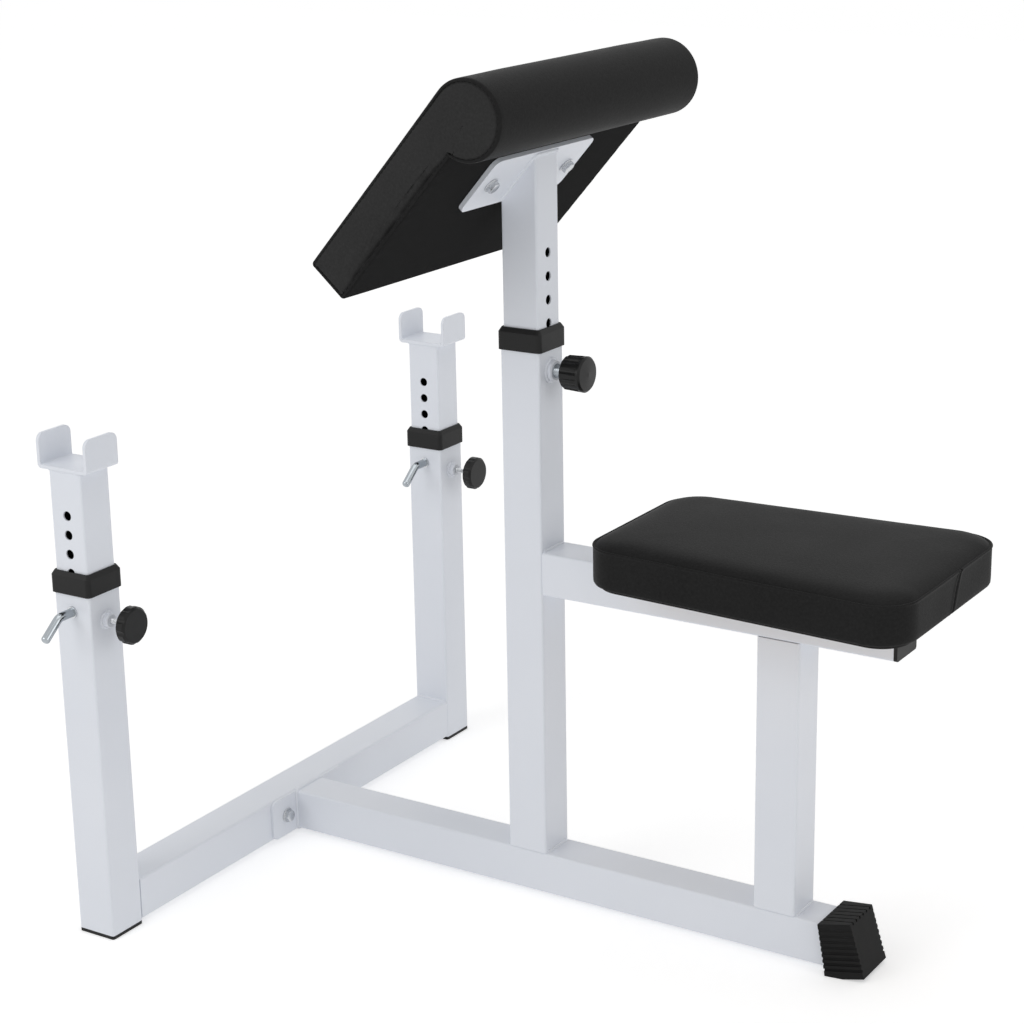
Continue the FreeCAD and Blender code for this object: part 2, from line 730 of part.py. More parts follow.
for side, side_y in (("near", f"-{SIDE_Y}"), ("far", SIDE_Y)):
    rest_post = square_tube(f"{side}_post", "post_side", "post_wall", "post_corner", "rest_post_length")
    rest_bottom = "(rest_height - rest_post_length)"
    lowest_hole = f"{LOCK_PIN_Z} - rest_holes_below * rest_hole_pitch - {rest_bottom}"
    hole_row(rest_post, "XZ_Plane", "pin_hole_radius", lowest_hole, "rest_hole_pitch", "rest_hole_count")
    place(rest_post, FRONT_X, side_y, rest_bottom)

    cradle = add_piece("PartDesign::Body", f"{side}_cradle")
    strip = sketch_on(cradle, "XZ_Plane", "strip")
    inner = "(cradle_length / 2 - cradle_thickness)"
    outline(strip, [
        ("-cradle_length / 2", "0"),
        ("cradle_length / 2", "0"),
        ("cradle_length / 2", "cradle_height"),
        (inner, "cradle_height"),
        (inner, "cradle_thickness"),
        (f"-{inner}", "cradle_thickness"),
        (f"-{inner}", "cradle_height"),
        ("-cradle_length / 2", "cradle_height"),
    ])
    pad(cradle, strip, "cradle_width", symmetric=True)
    half_length, half_width = value("cradle_length / 2"), value("cradle_width / 2")
    thickness, height = value("cradle_thickness"), value("cradle_height")
    outer_bends = [Vector(sign * half_length, 0, 0) for sign in (1, -1)]
    inner_bends = [Vector(sign * (half_length - thickness), 0, thickness) for sign in (1, -1)]
    ear_tops = [
        Vector(sign * (half_length - thickness / 2), across * half_width, height)
        for sign in (1, -1)
        for across in (1, -1)
    ]
    dress_edges(cradle, "cradle_bend + cradle_thickness", outer_bends)
    dress_edges(cradle, "cradle_bend", inner_bends)
    dress_edges(cradle, "cradle_ear_corner", ear_tops)
    place(cradle, FRONT_X, side_y, "rest_height")

# Lock pins: a bush in the upright's near wall, and a rod through it whose outer end is bent as a grip

for side, side_y in (("near", f"-{SIDE_Y}"), ("far", SIDE_Y)):
    bush = turned(f"{side}_pin_bush", [
        (PIN_BORE, "-tube_wall"),
        ("bush_radius", "-tube_wall"),
        ("bush_radius", "0"),
        ("bush_flange_radius", "0"),
        ("bush_flange_radius", "bush_flange"),
        (PIN_BORE, "bush_flange"),
    ])

    # The rod runs straight out of the bush, bends, and slants down to its rounded end
    lock_pin = add_piece("PartDesign::Body", f"{side}_lock_pin")
    nose = "(pin_setback - tube_wall)"
    bend_start = "(lock_pin_reach - lock_pin_bend * tan(lock_grip_angle / 2))"
    bend_drop = "(lock_pin_bend * cos(lock_grip_angle) - lock_pin_bend)"
    bend_end = f"({bend_start} + lock_pin_bend * sin(lock_grip_angle))"
    grip_drop = "(-lock_grip_length * sin(lock_grip_angle))"
    grip_end = "(lock_pin_reach + lock_grip_length * cos(lock_grip_angle))"
    path = sketch_on(lock_pin, "YZ_Plane", "path")
    bend_radius = value("lock_pin_bend")
    bend = Part.Circle(Vector(-bend_radius, value(bend_start)), Vector(0, 0, 1), bend_radius)
    end_spot = Vector(value(grip_drop), value(grip_end))
    path.addGeometry(Part.LineSegment(Vector(0, value(nose)), Vector(0, value(bend_start))), False)
    path.addGeometry(Part.ArcOfCircle(bend, 0, math.radians(value("lock_grip_angle"))), False)
    path.addGeometry(Part.LineSegment(Vector(value(bend_drop), value(bend_end)), end_spot), False)
    path.addConstraint(Sketcher.Constraint("Tangent", 0, 2, 1, 1))
    path.addConstraint(Sketcher.Constraint("Tangent", 1, 2, 2, 1))
    dimension(path, "Radius", "lock_pin_bend", 1)
    hold(path, 0, 1, "0", nose)
    hold(path, 0, 2, "0", bend_start)
    hold(path, 2, 2, grip_drop, grip_end)
    section = sketch_on(lock_pin, "XY_Plane", "section", lift=nose)
    circle(section, "pin_radius")
    rod = lock_pin.newObject("PartDesign::AdditivePipe", f"{side}_lock_rod")
    rod.Profile = section
    rod.Spine = (path, ["Edge1", "Edge2", "Edge3"])
    doc.recompute()
    dress_edges(lock_pin, "pin_chamfer", [Vector(0, 0, value(nose))], "Chamfer", "Size")
    dress_edges(lock_pin, "lock_grip_round", [Vector(0, end_spot.x, end_spot.y)])
    for item in (bush, lock_pin):
        place(item, FRONT_X, f"{side_y} - tube_side / 2", LOCK_PIN_Z, AGAINST_Y)

# Clamp screws: a nut welded on the upright's rear face, and a knob on a stud with a plastic shoe

for side, side_y in (("near", f"-{SIDE_Y}"), ("far", SIDE_Y)):
    stud_bore = "(clamp_stud_radius + pin_fit)"
    clamp_nut = turned(f"{side}_clamp_nut", [
        (stud_bore, "0"),
        ("clamp_nut_radius", "0"),
        ("clamp_nut_radius", "clamp_nut_height - clamp_nut_chamfer"),
        ("clamp_nut_radius - clamp_nut_chamfer", "clamp_nut_height"),
        (stud_bore, "clamp_nut_height"),
    ])
    shoe_radius = "(clamp_stud_radius - pin_fit)"
    shoe_front = "(pin_setback - tube_wall)"
    shoe_back = f"({shoe_front} + clamp_shoe_length)"
    clamp_shoe = turned(f"{side}_clamp_shoe", [
        ("0", shoe_front),
        (shoe_radius, shoe_front),
        (shoe_radius, shoe_back),
        ("0", shoe_back),
    ])
    stud_end = "(clamp_stud_reach + clamp_knob_stud_seat)"
    clamp_stud = turned(f"{side}_clamp_stud", [
        ("0", shoe_back),
        ("clamp_stud_radius", shoe_back),
        ("clamp_stud_radius", stud_end),
        ("0", stud_end),
    ])
    hub_end = "clamp_knob_hub"
    knob_end = "(clamp_knob_hub + clamp_knob_length)"
    clamp_knob = turned(f"{side}_clamp_knob", [
        ("clamp_stud_radius", "0"),
        ("clamp_knob_hub_radius", "0"),
        ("clamp_knob_hub_radius", hub_end),
        ("clamp_knob_radius - clamp_knob_edge / 2", hub_end),
        ("clamp_knob_radius", f"{hub_end} + clamp_knob_edge / 2"),
        ("clamp_knob_radius", f"{knob_end} - clamp_knob_edge"),
        ("clamp_knob_radius - clamp_knob_edge", knob_end),
        ("0", knob_end),
        ("0", "clamp_knob_stud_seat"),
        ("clamp_stud_radius", "clamp_knob_stud_seat"),
    ])
    flute_at = "clamp_knob_radius + clamp_flute_radius - clamp_flute_depth"
    flutes(clamp_knob, "clamp_flute_radius", flute_at, "clamp_flutes", knob_end)
    for item in (clamp_nut, clamp_shoe, clamp_stud):
        place(item, FRONT_FACE_X, side_y, CLAMP_Z, ALONG_X)
    place(clamp_knob, f"{FRONT_FACE_X} + clamp_stud_reach", side_y, CLAMP_Z, ALONG_X)

# Pull pin: a boss welded on the main upright, a sleeve screwed into it, and a sprung pin with a knob

boss = turned("pull_pin_boss", [
    ("sleeve_radius", "0"),
    ("boss_radius", "0"),
    ("boss_radius", "boss_height - boss_chamfer"),
    ("boss_radius - boss_chamfer", "boss_height"),
    ("sleeve_radius", "boss_height"),
])
chamber_end = "(sleeve_length - sleeve_end)"
stem_bore = "(stem_radius + pin_fit)"
sleeve = turned("pull_pin_sleeve", [
    (PIN_BORE, "-tube_wall"),
    ("sleeve_spigot_radius", "-tube_wall"),
    ("sleeve_spigot_radius", "0"),
    ("sleeve_radius", "0"),
    ("sleeve_radius", "sleeve_length"),
    (stem_bore, "sleeve_length"),
    (stem_bore, chamber_end),
    ("sleeve_chamber_radius", chamber_end),
    ("sleeve_chamber_radius", "sleeve_guide"),
    (PIN_BORE, "sleeve_guide"),
])
shoulder = "(sleeve_guide + shoulder_clearance + pull_travel)"
shoulder_end = f"({shoulder} + shoulder_length)"
stem_end = f"({PULL_KNOB_GAP} + pull_knob_cavity + pull_knob_stem_seat)"
pull_pin = turned("pull_pin", [
    ("0", "pin_setback - tube_wall"),
    ("pin_radius - pin_chamfer", "pin_setback - tube_wall"),
    ("pin_radius", "pin_setback - tube_wall + pin_chamfer"),
    ("pin_radius", shoulder),
    ("shoulder_radius", shoulder),
    ("shoulder_radius", shoulder_end),
    ("stem_radius", shoulder_end),
    ("stem_radius", stem_end),
    ("0", stem_end),
])
stem_seat = "(pull_knob_cavity + pull_knob_stem_seat)"
pull_knob = turned("pull_knob", [
    ("pull_knob_cavity_radius", "0"),
    ("pull_knob_rear_radius - pull_knob_edge", "0"),
    ("pull_knob_rear_radius", "pull_knob_edge"),
    ("pull_knob_face_radius", "pull_knob_length - pull_knob_edge"),
    ("pull_knob_face_radius - pull_knob_edge", "pull_knob_length"),
    ("0", "pull_knob_length + pull_knob_dome"),
    ("0", stem_seat),
    ("stem_radius", stem_seat),
    ("stem_radius", "pull_knob_cavity"),
    ("pull_knob_cavity_radius", "pull_knob_cavity"),
])
flute_at = "pull_knob_face_radius + pull_flute_radius - pull_flute_depth"
flutes(pull_knob, "pull_flute_radius", flute_at, "pull_flutes", "pull_knob_length - pull_knob_cap")
for item in (boss, sleeve, pull_pin):
    place(item, MAIN_FACE_X, z=PULL_PIN_Z, turn=ALONG_X)
place(pull_knob, f"{MAIN_FACE_X} + {PULL_KNOB_GAP}", z=PULL_PIN_Z, turn=ALONG_X)


def arc_between(start, corner, end):
    """A circular arc that leaves start and reaches end along the lines to a corner"""
    middle = (start + end) / 2
    rise = corner - middle
    half_chord = (end - start).Length / 2
    sagitta = half_chord * math.tan(math.atan2(rise.Length, half_chord) / 2)
    return Part.Arc(start, middle + rise / rise.Length * sagitta, end).toShape()


# The spring is wound between the pin's shoulder and the sleeve's end, each half turn two arcs
spring_start = value(f"{shoulder_end} + shoulder_clearance + spring_wire_radius")
spring_end = value(f"{chamber_end} - shoulder_clearance - spring_wire_radius")
spring_radius = value("spring_radius")
half_turns = int(2 * value("spring_turns"))
climb = (spring_end - spring_start) / (half_turns * math.pi)
nodes = []
for i in range(half_turns + 1):
    angle = i * math.pi
    across, along = spring_radius * math.cos(angle), spring_radius * math.sin(angle)
    spot = Vector(across, along, spring_start + climb * angle)
    nodes.append((spot, Vector(-along, across, climb).normalize()))
turns = []
for (start, out), (end, into) in zip(nodes, nodes[1:]):
    chord, sum_of_headings = end - start, out + into
    spread = 2 * (1 - out.dot(into))
    along = chord.dot(sum_of_headings)
    reach = (math.sqrt(along ** 2 + spread * chord.dot(chord)) - along) / spread
    first_corner, second_corner = start + out * reach, end - into * reach
    meeting = (first_corner + second_corner) / 2
    turns.append(arc_between(start, first_corner, meeting))
    turns.append(arc_between(meeting, second_corner, end))
start, heading = nodes[0]
wire_section = Part.Wire([Part.makeCircle(value("spring_wire_radius"), start, heading)])
spring = add_piece("Part::Feature", "pull_pin_spring")
spring.Shape = Part.Wire(turns).makePipeShell([wire_section], True, False)
points_per_arc = 12
samples = [point for arc in turns for point in arc.discretize(points_per_arc)]
per_turn = 2 * len(samples) // half_turns
apart = [
    spot.distanceToPoint(other)
    for i, spot in enumerate(samples)
    for other in samples[i + per_turn // 2:]
]
print("spring's least gap to itself", round(min(apart) - value("2 * spring_wire_radius"), 2))
place(spring, MAIN_FACE_X, z=PULL_PIN_Z, turn=ALONG_X)

# Arm pad's post, cut to the pad's slope, and the plate welded on it

slope_rise = "(tan(arm_slope_angle) * post_side)"
arm_length = f"arm_post_length + {slope_rise} / 2"
arm_post = square_tube("arm_post", "post_side", "post_wall", "post_corner", arm_length)
arm_bottom = "(arm_height - arm_post_length)"
slope = sketch_on(arm_post, "XZ_Plane", "slope")
outline(slope, [
    ("-post_side", f"arm_post_length - {slope_rise}"),
    ("post_side", f"arm_post_length + {slope_rise}"),
    ("-post_side", f"arm_post_length + {slope_rise}"),
])
cut(arm_post, slope, symmetric=True)
lowest_hole = f"{PULL_PIN_Z} - arm_holes_below * arm_hole_pitch - {arm_bottom}"
hole_row(arm_post, "YZ_Plane", "pin_hole_radius", lowest_hole, "arm_hole_pitch", "arm_hole_count")
place(arm_post, MAIN_X, z=arm_bottom)

pad_bolt_y = ["(pad_plate_width / 2 - pad_bolt_inset)", "-(pad_plate_width / 2 - pad_bolt_inset)"]
pad_plate = add_piece("PartDesign::Body", "pad_plate")
plate_shape = sketch_on(pad_plate, "XY_Plane", "shape")
rounded_rectangle(plate_shape, "pad_plate_length", "pad_plate_width", "pad_plate_corner")
for y in pad_bolt_y:
    circle(plate_shape, BOLT_HOLE, y=y)
pad(pad_plate, plate_shape, "pad_plate_thickness")

# Arm pad: a board under the slab, and the upholstered slab and roll as one soft solid

pad_foot = "(board_margin - pad_below_post)"
pad_board_width = "(pad_width - 2 * board_margin)"
pad_board = add_piece("PartDesign::Body", "pad_board")
board_shape = sketch_on(pad_board, "XY_Plane", "shape", lift="pad_plate_thickness")
outline(board_shape, [
    (pad_foot, f"-{pad_board_width} / 2"),
    ("pad_board_above_post", f"-{pad_board_width} / 2"),
    ("pad_board_above_post", f"{pad_board_width} / 2"),
    (pad_foot, f"{pad_board_width} / 2"),
])
for y in pad_bolt_y:
    circle(board_shape, BOLT_HOLE, y=y)
pad(pad_board, board_shape, "board_thickness")

pad_washers = washers("pad_washers", [("0", y, "-washer_thickness") for y in pad_bolt_y])
pad_bolts = hex_bolts(
    "pad_bolts",
    "washer_thickness + pad_plate_thickness + board_thickness - bolt_clearance",
    [("0", y, "-washer_thickness") for y in pad_bolt_y],
)
for item in (pad_plate, pad_board, pad_washers, pad_bolts):
    place_on_slope(item)


def pad_section(y, inset, crown):
    """The arm pad's outline across the slope, drawn in by an inset and raised by a crown"""
    low, corner = value("pad_plate_thickness") + inset, value("pad_corner")
    top = value("pad_plate_thickness + pad_thickness") - inset + crown
    foot = inset - value("pad_below_post")
    centre_x, radius = value("pad_roll_centre"), value("pad_roll_radius") - inset
    centre_z = value("pad_plate_thickness + pad_thickness - pad_roll_radius")
    diagonal = math.sqrt(2) / 2
    under_x = centre_x - math.sqrt(radius ** 2 - (centre_z - low) ** 2)
    under_angle = (math.atan2(low - centre_z, under_x - centre_x) % (2 * math.pi) + 3 * math.pi / 2) / 2

    def at(x, z):
        return Vector(x, y, z)

    def roll(angle, lift=0):
        return at(centre_x + radius * math.cos(angle), centre_z + (radius + lift) * math.sin(angle))

    round_in = corner * (1 - diagonal)
    edges = [
        Part.LineSegment(at(foot + corner, top), roll(math.pi / 2, crown)),
        Part.Arc(roll(math.pi / 2, crown), roll(math.pi / 4, crown), roll(0)),
        Part.Arc(roll(0), roll(-math.pi / 4), roll(-math.pi / 2)),
        Part.Arc(roll(-math.pi / 2), roll(under_angle), at(under_x, low)),
        Part.LineSegment(at(under_x, low), at(foot + corner, low)),
        Part.Arc(at(foot + corner, low), at(foot + round_in, low + round_in), at(foot, low + corner)),
        Part.LineSegment(at(foot, low + corner), at(foot, top - corner)),
        Part.Arc(at(foot, top - corner), at(foot + round_in, top - round_in), at(foot + corner, top)),
    ]
    return Part.Wire([edge.toShape() for edge in edges])


pad_half = value("pad_width / 2")
end_round = value("pad_end_round")
crown_at = pad_half - value("pad_crown_inset")
pad_stations = [
    (-pad_half, end_round, 0),
    (-pad_half + end_round / 4, end_round / 3, 0),
    (-pad_half + end_round, 0, 0),
    (-crown_at, 0, value("pad_crown")),
]
pad_stations += [(-y, inset, crown) for y, inset, crown in reversed(pad_stations)]
arm_pad = add_piece("Part::Feature", "arm_pad")
pad_body = Part.makeLoft([pad_section(*station) for station in pad_stations], True, True)
board_room = Part.makeBox(
    value(f"pad_board_above_post - {pad_foot} + 2 * board_clearance"),
    value(f"{pad_board_width} + 2 * board_clearance"),
    value("2 * board_thickness + board_clearance"),
    Vector(
        value(f"{pad_foot} - board_clearance"),
        value(f"-{pad_board_width} / 2 - board_clearance"),
        value("pad_plate_thickness - board_thickness"),
    ),
)
arm_pad.Shape = pad_body.cut(board_room)
place_on_slope(arm_pad)

# Seat: a board bolted through the seat tube, under a crowned cushion

seat_board = add_piece("PartDesign::Body", "seat_board")
board_shape = sketch_on(seat_board, "XY_Plane", "shape")
rounded_wedge(
    board_shape,
    "seat_length - 2 * board_margin",
    "seat_front_width - 2 * board_margin",
    "seat_rear_width - 2 * board_margin",
    "seat_corner - board_margin",
)
for x in seat_bolt_x:
    circle(board_shape, BOLT_HOLE, x=f"{x} - seat_front - seat_length / 2")
pad(seat_board, board_shape, "board_thickness")
place(seat_board, SEAT_X, z="seat_tube_top")

seat_underside = "seat_tube_top - tube_side - washer_thickness"
seat_spots = [(f"{x} - origin_setback", "0", seat_underside) for x in seat_bolt_x]
washers("seat_washers", seat_spots)
hex_bolts("seat_bolts", "washer_thickness + tube_side + board_thickness - bolt_clearance", seat_spots)


def seat_section(z, inset, corner):
    """The seat's plan at a height, drawn in by an inset"""
    spans = [value(name) - 2 * inset for name in ("seat_length", "seat_front_width", "seat_rear_width")]
    edges = []
    for centre, begin, stop in wedge_corners(*spans, corner):
        start, middle, end = [
            centre + Vector(corner * math.cos(turn), corner * math.sin(turn), z)
            for turn in (begin, (begin + stop) / 2, stop)
        ]
        if edges:
            edges.append(Part.LineSegment(edges[-1].EndPoint, start))
        edges.append(Part.Arc(start, middle, end))
    edges.append(Part.LineSegment(edges[-1].EndPoint, edges[0].StartPoint))
    return Part.Wire([edge.toShape() for edge in edges])


seat_top = value("seat_thickness")
seat_edge = value("seat_edge")
seat_stations = [
    (0, seat_edge * 2 / 3),
    (seat_edge / 3, seat_edge / 6),
    (seat_edge, 0),
    (seat_top / 2, value("seat_draw_in")),
    (seat_top - seat_edge, 0),
    (seat_top - seat_edge / 3, seat_edge / 4),
    (seat_top, seat_edge),
    (seat_top + value("seat_crown"), value("seat_crown_inset")),
]
seat_cushion = add_piece("Part::Feature", "seat_cushion")
seat_plans = [
    seat_section(z, inset, value("seat_corner") - value("seat_corner_share") * inset)
    for z, inset in seat_stations
]
room_inset = value("board_margin - board_clearance")
room_plan = seat_section(-value("board_thickness"), room_inset, value("seat_corner") - room_inset)
room_height = value("2 * board_thickness - seat_lift + board_clearance")
board_room = Part.Face(room_plan).extrude(Vector(0, 0, room_height))
seat_cushion.Shape = Part.makeLoft(seat_plans, True, True).cut(board_room)
place(seat_cushion, SEAT_X, z="seat_tube_top + seat_lift")

# Every object is sound before any piece is written
doc.recompute()
for item in doc.Objects:
    if "Invalid" in item.State or "Error" in item.State:
        raise RuntimeError(f"{item.Name} failed: {item.State}")
for piece in pieces:
    if piece.Shape.isNull() or not piece.Shape.isValid() or not piece.Shape.Solids:
        raise RuntimeError(f"{piece.Label} has no sound solid")
os.makedirs("parts", exist_ok=True)
for piece in pieces:
    piece.Shape.exportStep(f"parts/{piece.Label}.step")
print(len(pieces), "pieces written")
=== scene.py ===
import math

import bmesh
import bpy
from mathutils import Matrix, Vector, kdtree


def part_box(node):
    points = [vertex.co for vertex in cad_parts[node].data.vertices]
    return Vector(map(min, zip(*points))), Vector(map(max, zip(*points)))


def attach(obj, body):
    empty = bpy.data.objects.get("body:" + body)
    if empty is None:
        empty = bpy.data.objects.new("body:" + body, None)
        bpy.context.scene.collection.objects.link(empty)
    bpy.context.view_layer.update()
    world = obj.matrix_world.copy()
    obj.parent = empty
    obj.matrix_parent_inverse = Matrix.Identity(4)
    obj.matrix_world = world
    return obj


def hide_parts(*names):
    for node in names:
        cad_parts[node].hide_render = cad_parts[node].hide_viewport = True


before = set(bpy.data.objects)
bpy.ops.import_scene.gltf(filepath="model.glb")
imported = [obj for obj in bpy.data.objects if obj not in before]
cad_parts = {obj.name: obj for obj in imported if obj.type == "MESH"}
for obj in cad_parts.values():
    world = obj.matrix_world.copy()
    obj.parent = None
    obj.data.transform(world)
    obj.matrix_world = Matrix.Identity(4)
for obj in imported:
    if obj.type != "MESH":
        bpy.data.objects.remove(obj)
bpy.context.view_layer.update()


# Frame: square steel tubes, 50 mm across, sawn to length, welded together and powder coated white.
# The coat is slightly blue and satin, with the faint orange peel of baked powder.


class Signal:
    """A socket in a node tree: sums on it add Math nodes, and add() puts in any other node"""

    def __init__(self, tree, socket=None):
        self.tree = tree
        self.socket = socket

    def add(self, kind, settings=(), sockets=(), out=0):
        """A new node: its settings come first, then its sockets' values and links"""
        node = self.tree.nodes.new(kind)
        for name, setting in dict(settings).items():
            setattr(node, name, setting)
        feed(node, dict(sockets))
        return Signal(self.tree, node.outputs[out] if node.outputs else None)

    def out(self, name):
        """Another output of the same node"""
        return Signal(self.tree, self.socket.node.outputs[name])

    def reckon(self, operation, first, second=0.0):
        return self.add("ShaderNodeMath", {"operation": operation}, {0: first, 1: second})

    def __add__(self, other):
        return self.reckon("ADD", self, other)

    def __radd__(self, other):
        return self.reckon("ADD", other, self)

    def __sub__(self, other):
        return self.reckon("SUBTRACT", self, other)

    def __rsub__(self, other):
        return self.reckon("SUBTRACT", other, self)

    def __mul__(self, other):
        return self.reckon("MULTIPLY", self, other)

    def __rmul__(self, other):
        return self.reckon("MULTIPLY", other, self)

    def __truediv__(self, other):
        return self.reckon("DIVIDE", self, other)

    def __lt__(self, other):
        return self.reckon("LESS_THAN", self, other)

    def __abs__(self):
        return self.reckon("ABSOLUTE", self)


def new_finish(name):
    """A material with its shader, and the object's own coordinates to begin its nodes from"""
    material = bpy.data.materials.new(name)
    material.use_nodes = True
    shader = material.node_tree.nodes["Principled BSDF"]
    spot = Signal(material.node_tree).add("ShaderNodeTexCoord").out("Object")
    return material, shader, spot


def feed(node, sockets):
    """Set a node's sockets, each to a value or by a link"""
    for name, given in sockets.items():
        if isinstance(given, Signal):
            given.tree.links.new(given.socket, node.inputs[name])
        else:
            node.inputs[name].default_value = given


def mottle(spot, scale, detail=2.0):
    """Soft random patches from 0 to 1, about 1 / scale metres across"""
    return spot.add("ShaderNodeTexNoise", (), {"Vector": spot, "Scale": scale, "Detail": detail})


def blended(share, first, second, blend="MIX"):
    """A colour mixed from two; the Mix node's colour sockets share their names, so they go by number"""
    factor, colour_a, colour_b, result = 0, 6, 7, 2
    sockets = {factor: share, colour_a: first, colour_b: second}
    return share.add("ShaderNodeMix", {"data_type": "RGBA", "blend_type": blend}, sockets, result)


def shade_between(share, low, high):
    """A colour between two plain ones, by a share from 0 to 1"""
    return blended(share, (*low, 1.0), (*high, 1.0))


def relief(height, depth, strength=1.0, edge=0.0):
    """Surface relief of the given depth in metres, over edges eased by a small radius"""
    sockets = {"Height": height, "Distance": depth, "Strength": strength}
    if edge:
        sockets["Normal"] = height.add("ShaderNodeBevel", {"samples": 6}, {"Radius": edge})
    return height.add("ShaderNodeBump", (), sockets)


def dress(material, *names):
    """Give CAD nodes their finish"""
    for name in names:
        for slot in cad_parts[name].material_slots:
            slot.material = material


def powder_coat(name, bore=None):
    """White powder coat; bore is the middle and half width of an open tube, which is bare steel within and
    darkened there as painted shade
    """
    material, shader, spot = new_finish(name)
    cloud = mottle(spot, 9.0, 3.0)
    peel = mottle(spot, 520.0, 1.0)
    colour = shade_between(cloud, (0.775, 0.805, 0.865), (0.825, 0.850, 0.905))
    roughness = 0.30 + 0.12 * mottle(spot, 40.0)
    if bore:
        middle_x, middle_y, half = bore
        place = spot.add("ShaderNodeSeparateXYZ", (), {"Vector": spot})
        off_x = abs(place.out("X") - middle_x)
        off_y = abs(place.out("Y") - middle_y)
        shaded_bare_bore = place.reckon("MAXIMUM", off_x, off_y) < half
        # Within the bore the colour is near black: bare steel, made darker still as painted shade for the
        # tube's hollow
        colour = blended(shaded_bare_bore, colour, (0.010, 0.010, 0.011, 1.0))
        roughness = roughness + shaded_bare_bore * 0.35
    feed(shader, {
        "Base Color": colour,
        "Roughness": roughness,
        "Normal": relief(peel, 0.00006, 0.5, 0.0006),
        "Specular IOR Level": 0.45,
    })
    return material


frame_coat = powder_coat("frame_coat")
dress(frame_coat, "cross_tube", "near_upright", "far_upright", "base_tube", "joint_plate", "main_upright",
      "rear_post", "seat_tube", "near_clamp_nut", "far_clamp_nut", "pull_pin_boss")


# Welds: beads of weld metal in the inner corners of the tubes, round the joint plate and round the
# bosses. They are laid along the joints, a little rippled, and coated with the frame.


def new_tree(name, inputs):
    """A tree of geometry nodes with named inputs, and its input node to begin from"""
    tree = bpy.data.node_groups.new(name, "GeometryNodeTree")
    for label, kind in inputs:
        tree.interface.new_socket(label, in_out="INPUT", socket_type="NodeSocket" + kind)
    tree.interface.new_socket("Result", in_out="OUTPUT", socket_type="NodeSocketGeometry")
    return Signal(tree).add("NodeGroupInput")


def close_tree(shape, finish, smooth=True):
    """The end of a tree: smooth faces unless told not to, real geometry and its finish"""
    if smooth:
        shape = shape.add("GeometryNodeSetShadeSmooth", (), {"Geometry": shape})
    shape = shape.add("GeometryNodeRealizeInstances", (), {"Geometry": shape})
    shape = shape.add("GeometryNodeSetMaterial", (), {"Geometry": shape, "Material": finish})
    shape.add("NodeGroupOutput", (), {0: shape})
    return shape.tree


def grown(name, tree, start, values):
    """The plain mesh piece that a tree makes from a starting mesh"""
    piece = bpy.data.objects.new(name, start)
    bpy.context.collection.objects.link(piece)
    maker = piece.modifiers.new("maker", "NODES")
    maker.node_group = tree
    for item in tree.interface.items_tree:
        if item.name in values:
            maker[item.identifier] = values[item.name]
    bpy.context.view_layer.update()
    shown = piece.evaluated_get(bpy.context.evaluated_depsgraph_get())
    mesh = bpy.data.meshes.new_from_object(shown)
    piece.modifiers.remove(maker)
    piece.data = mesh
    mesh.name = name
    return piece


def lines_mesh(name, lines):
    """A mesh of edges only, from runs of points; a run that ends on its first point is closed"""
    points = []
    edges = []
    for line in lines:
        closed = (Vector(line[0]) - Vector(line[-1])).length < 1e-6
        run = line[:-1] if closed else line
        first = len(points)
        points += [tuple(point) for point in run]
        edges += [(first + i, first + i + 1) for i in range(len(run) - 1)]
        if closed:
            edges.append((len(points) - 1, first))
    mesh = bpy.data.meshes.new(name)
    mesh.from_pydata(points, edges, [])
    return mesh


given = new_tree("weld_bead", [("Line", "Geometry"), ("Bead Radius", "Float"), ("Ripple Pitch", "Float"),
                               ("Ripple Share", "Float"), ("Finish", "Material")])
bead_radius = given.out("Bead Radius")
bead_step, bead_sides, blunt_end = 0.0008, 12, 0.05
line = given.add("GeometryNodeMeshToCurve", (), {"Mesh": given})
line = given.add("GeometryNodeResampleCurve", {"mode": "LENGTH"}, {"Curve": line, "Length": bead_step})
along = given.add("GeometryNodeSplineParameter").out("Length")
whole = given.add("GeometryNodeSplineLength")
to_end = given.reckon("MINIMUM", along, whole - along) / bead_radius
ring = given.add("GeometryNodeInputSplineCyclic")
rounded_end = given.reckon("MINIMUM", given.reckon("SQRT", to_end + blunt_end), 1.0)
taper = given.reckon("MAXIMUM", ring, rounded_end)
ripple_wave = given.reckon("SINE", along * math.tau / given.out("Ripple Pitch"))
ripple = 1.0 + given.out("Ripple Share") * ripple_wave
section = given.add("GeometryNodeCurvePrimitiveCircle", (), {"Resolution": bead_sides, "Radius": bead_radius})
bead = given.add("GeometryNodeCurveToMesh", (),
                 {"Curve": line, "Profile Curve": section, "Scale": taper * ripple, "Fill Caps": True})
weld_bead = close_tree(bead, given.out("Finish"))


def round_square(middle, across, up, corner=0.003, steps=4):
    """A closed run of points round a square or oblong with rounded corners"""
    reach_a, reach_u = across.length, up.length
    side_a, side_u = across.normalized(), up.normalized()
    run = []
    for sign_a, sign_u, start in ((1, 1, 0.0), (-1, 1, 0.25), (-1, -1, 0.5), (1, -1, 0.75)):
        for step in range(steps + 1):
            turn = (start + 0.25 * step / steps) * math.tau
            out_a = sign_a * (reach_a - corner) + corner * math.cos(turn)
            out_u = sign_u * (reach_u - corner) + corner * math.sin(turn)
            run.append(middle + side_a * out_a + side_u * out_u)
    return run + [run[0]]


def ring_run(middle, radius, steps=32):
    """A closed ring of points in the plane across X"""
    turns = [i * math.tau / steps for i in range(steps)]
    run = [middle + Vector((0.0, radius * math.cos(turn), radius * math.sin(turn))) for turn in turns]
    return run + [run[0]]


def weld(name, body, lines, radius=0.0024):
    """Weld beads along runs of points, riding on a body"""
    values = {"Bead Radius": radius, "Ripple Pitch": 0.0026, "Ripple Share": 0.07, "Finish": frame_coat}
    piece = grown(name, weld_bead, lines_mesh(name, lines), values)
    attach(piece, body)


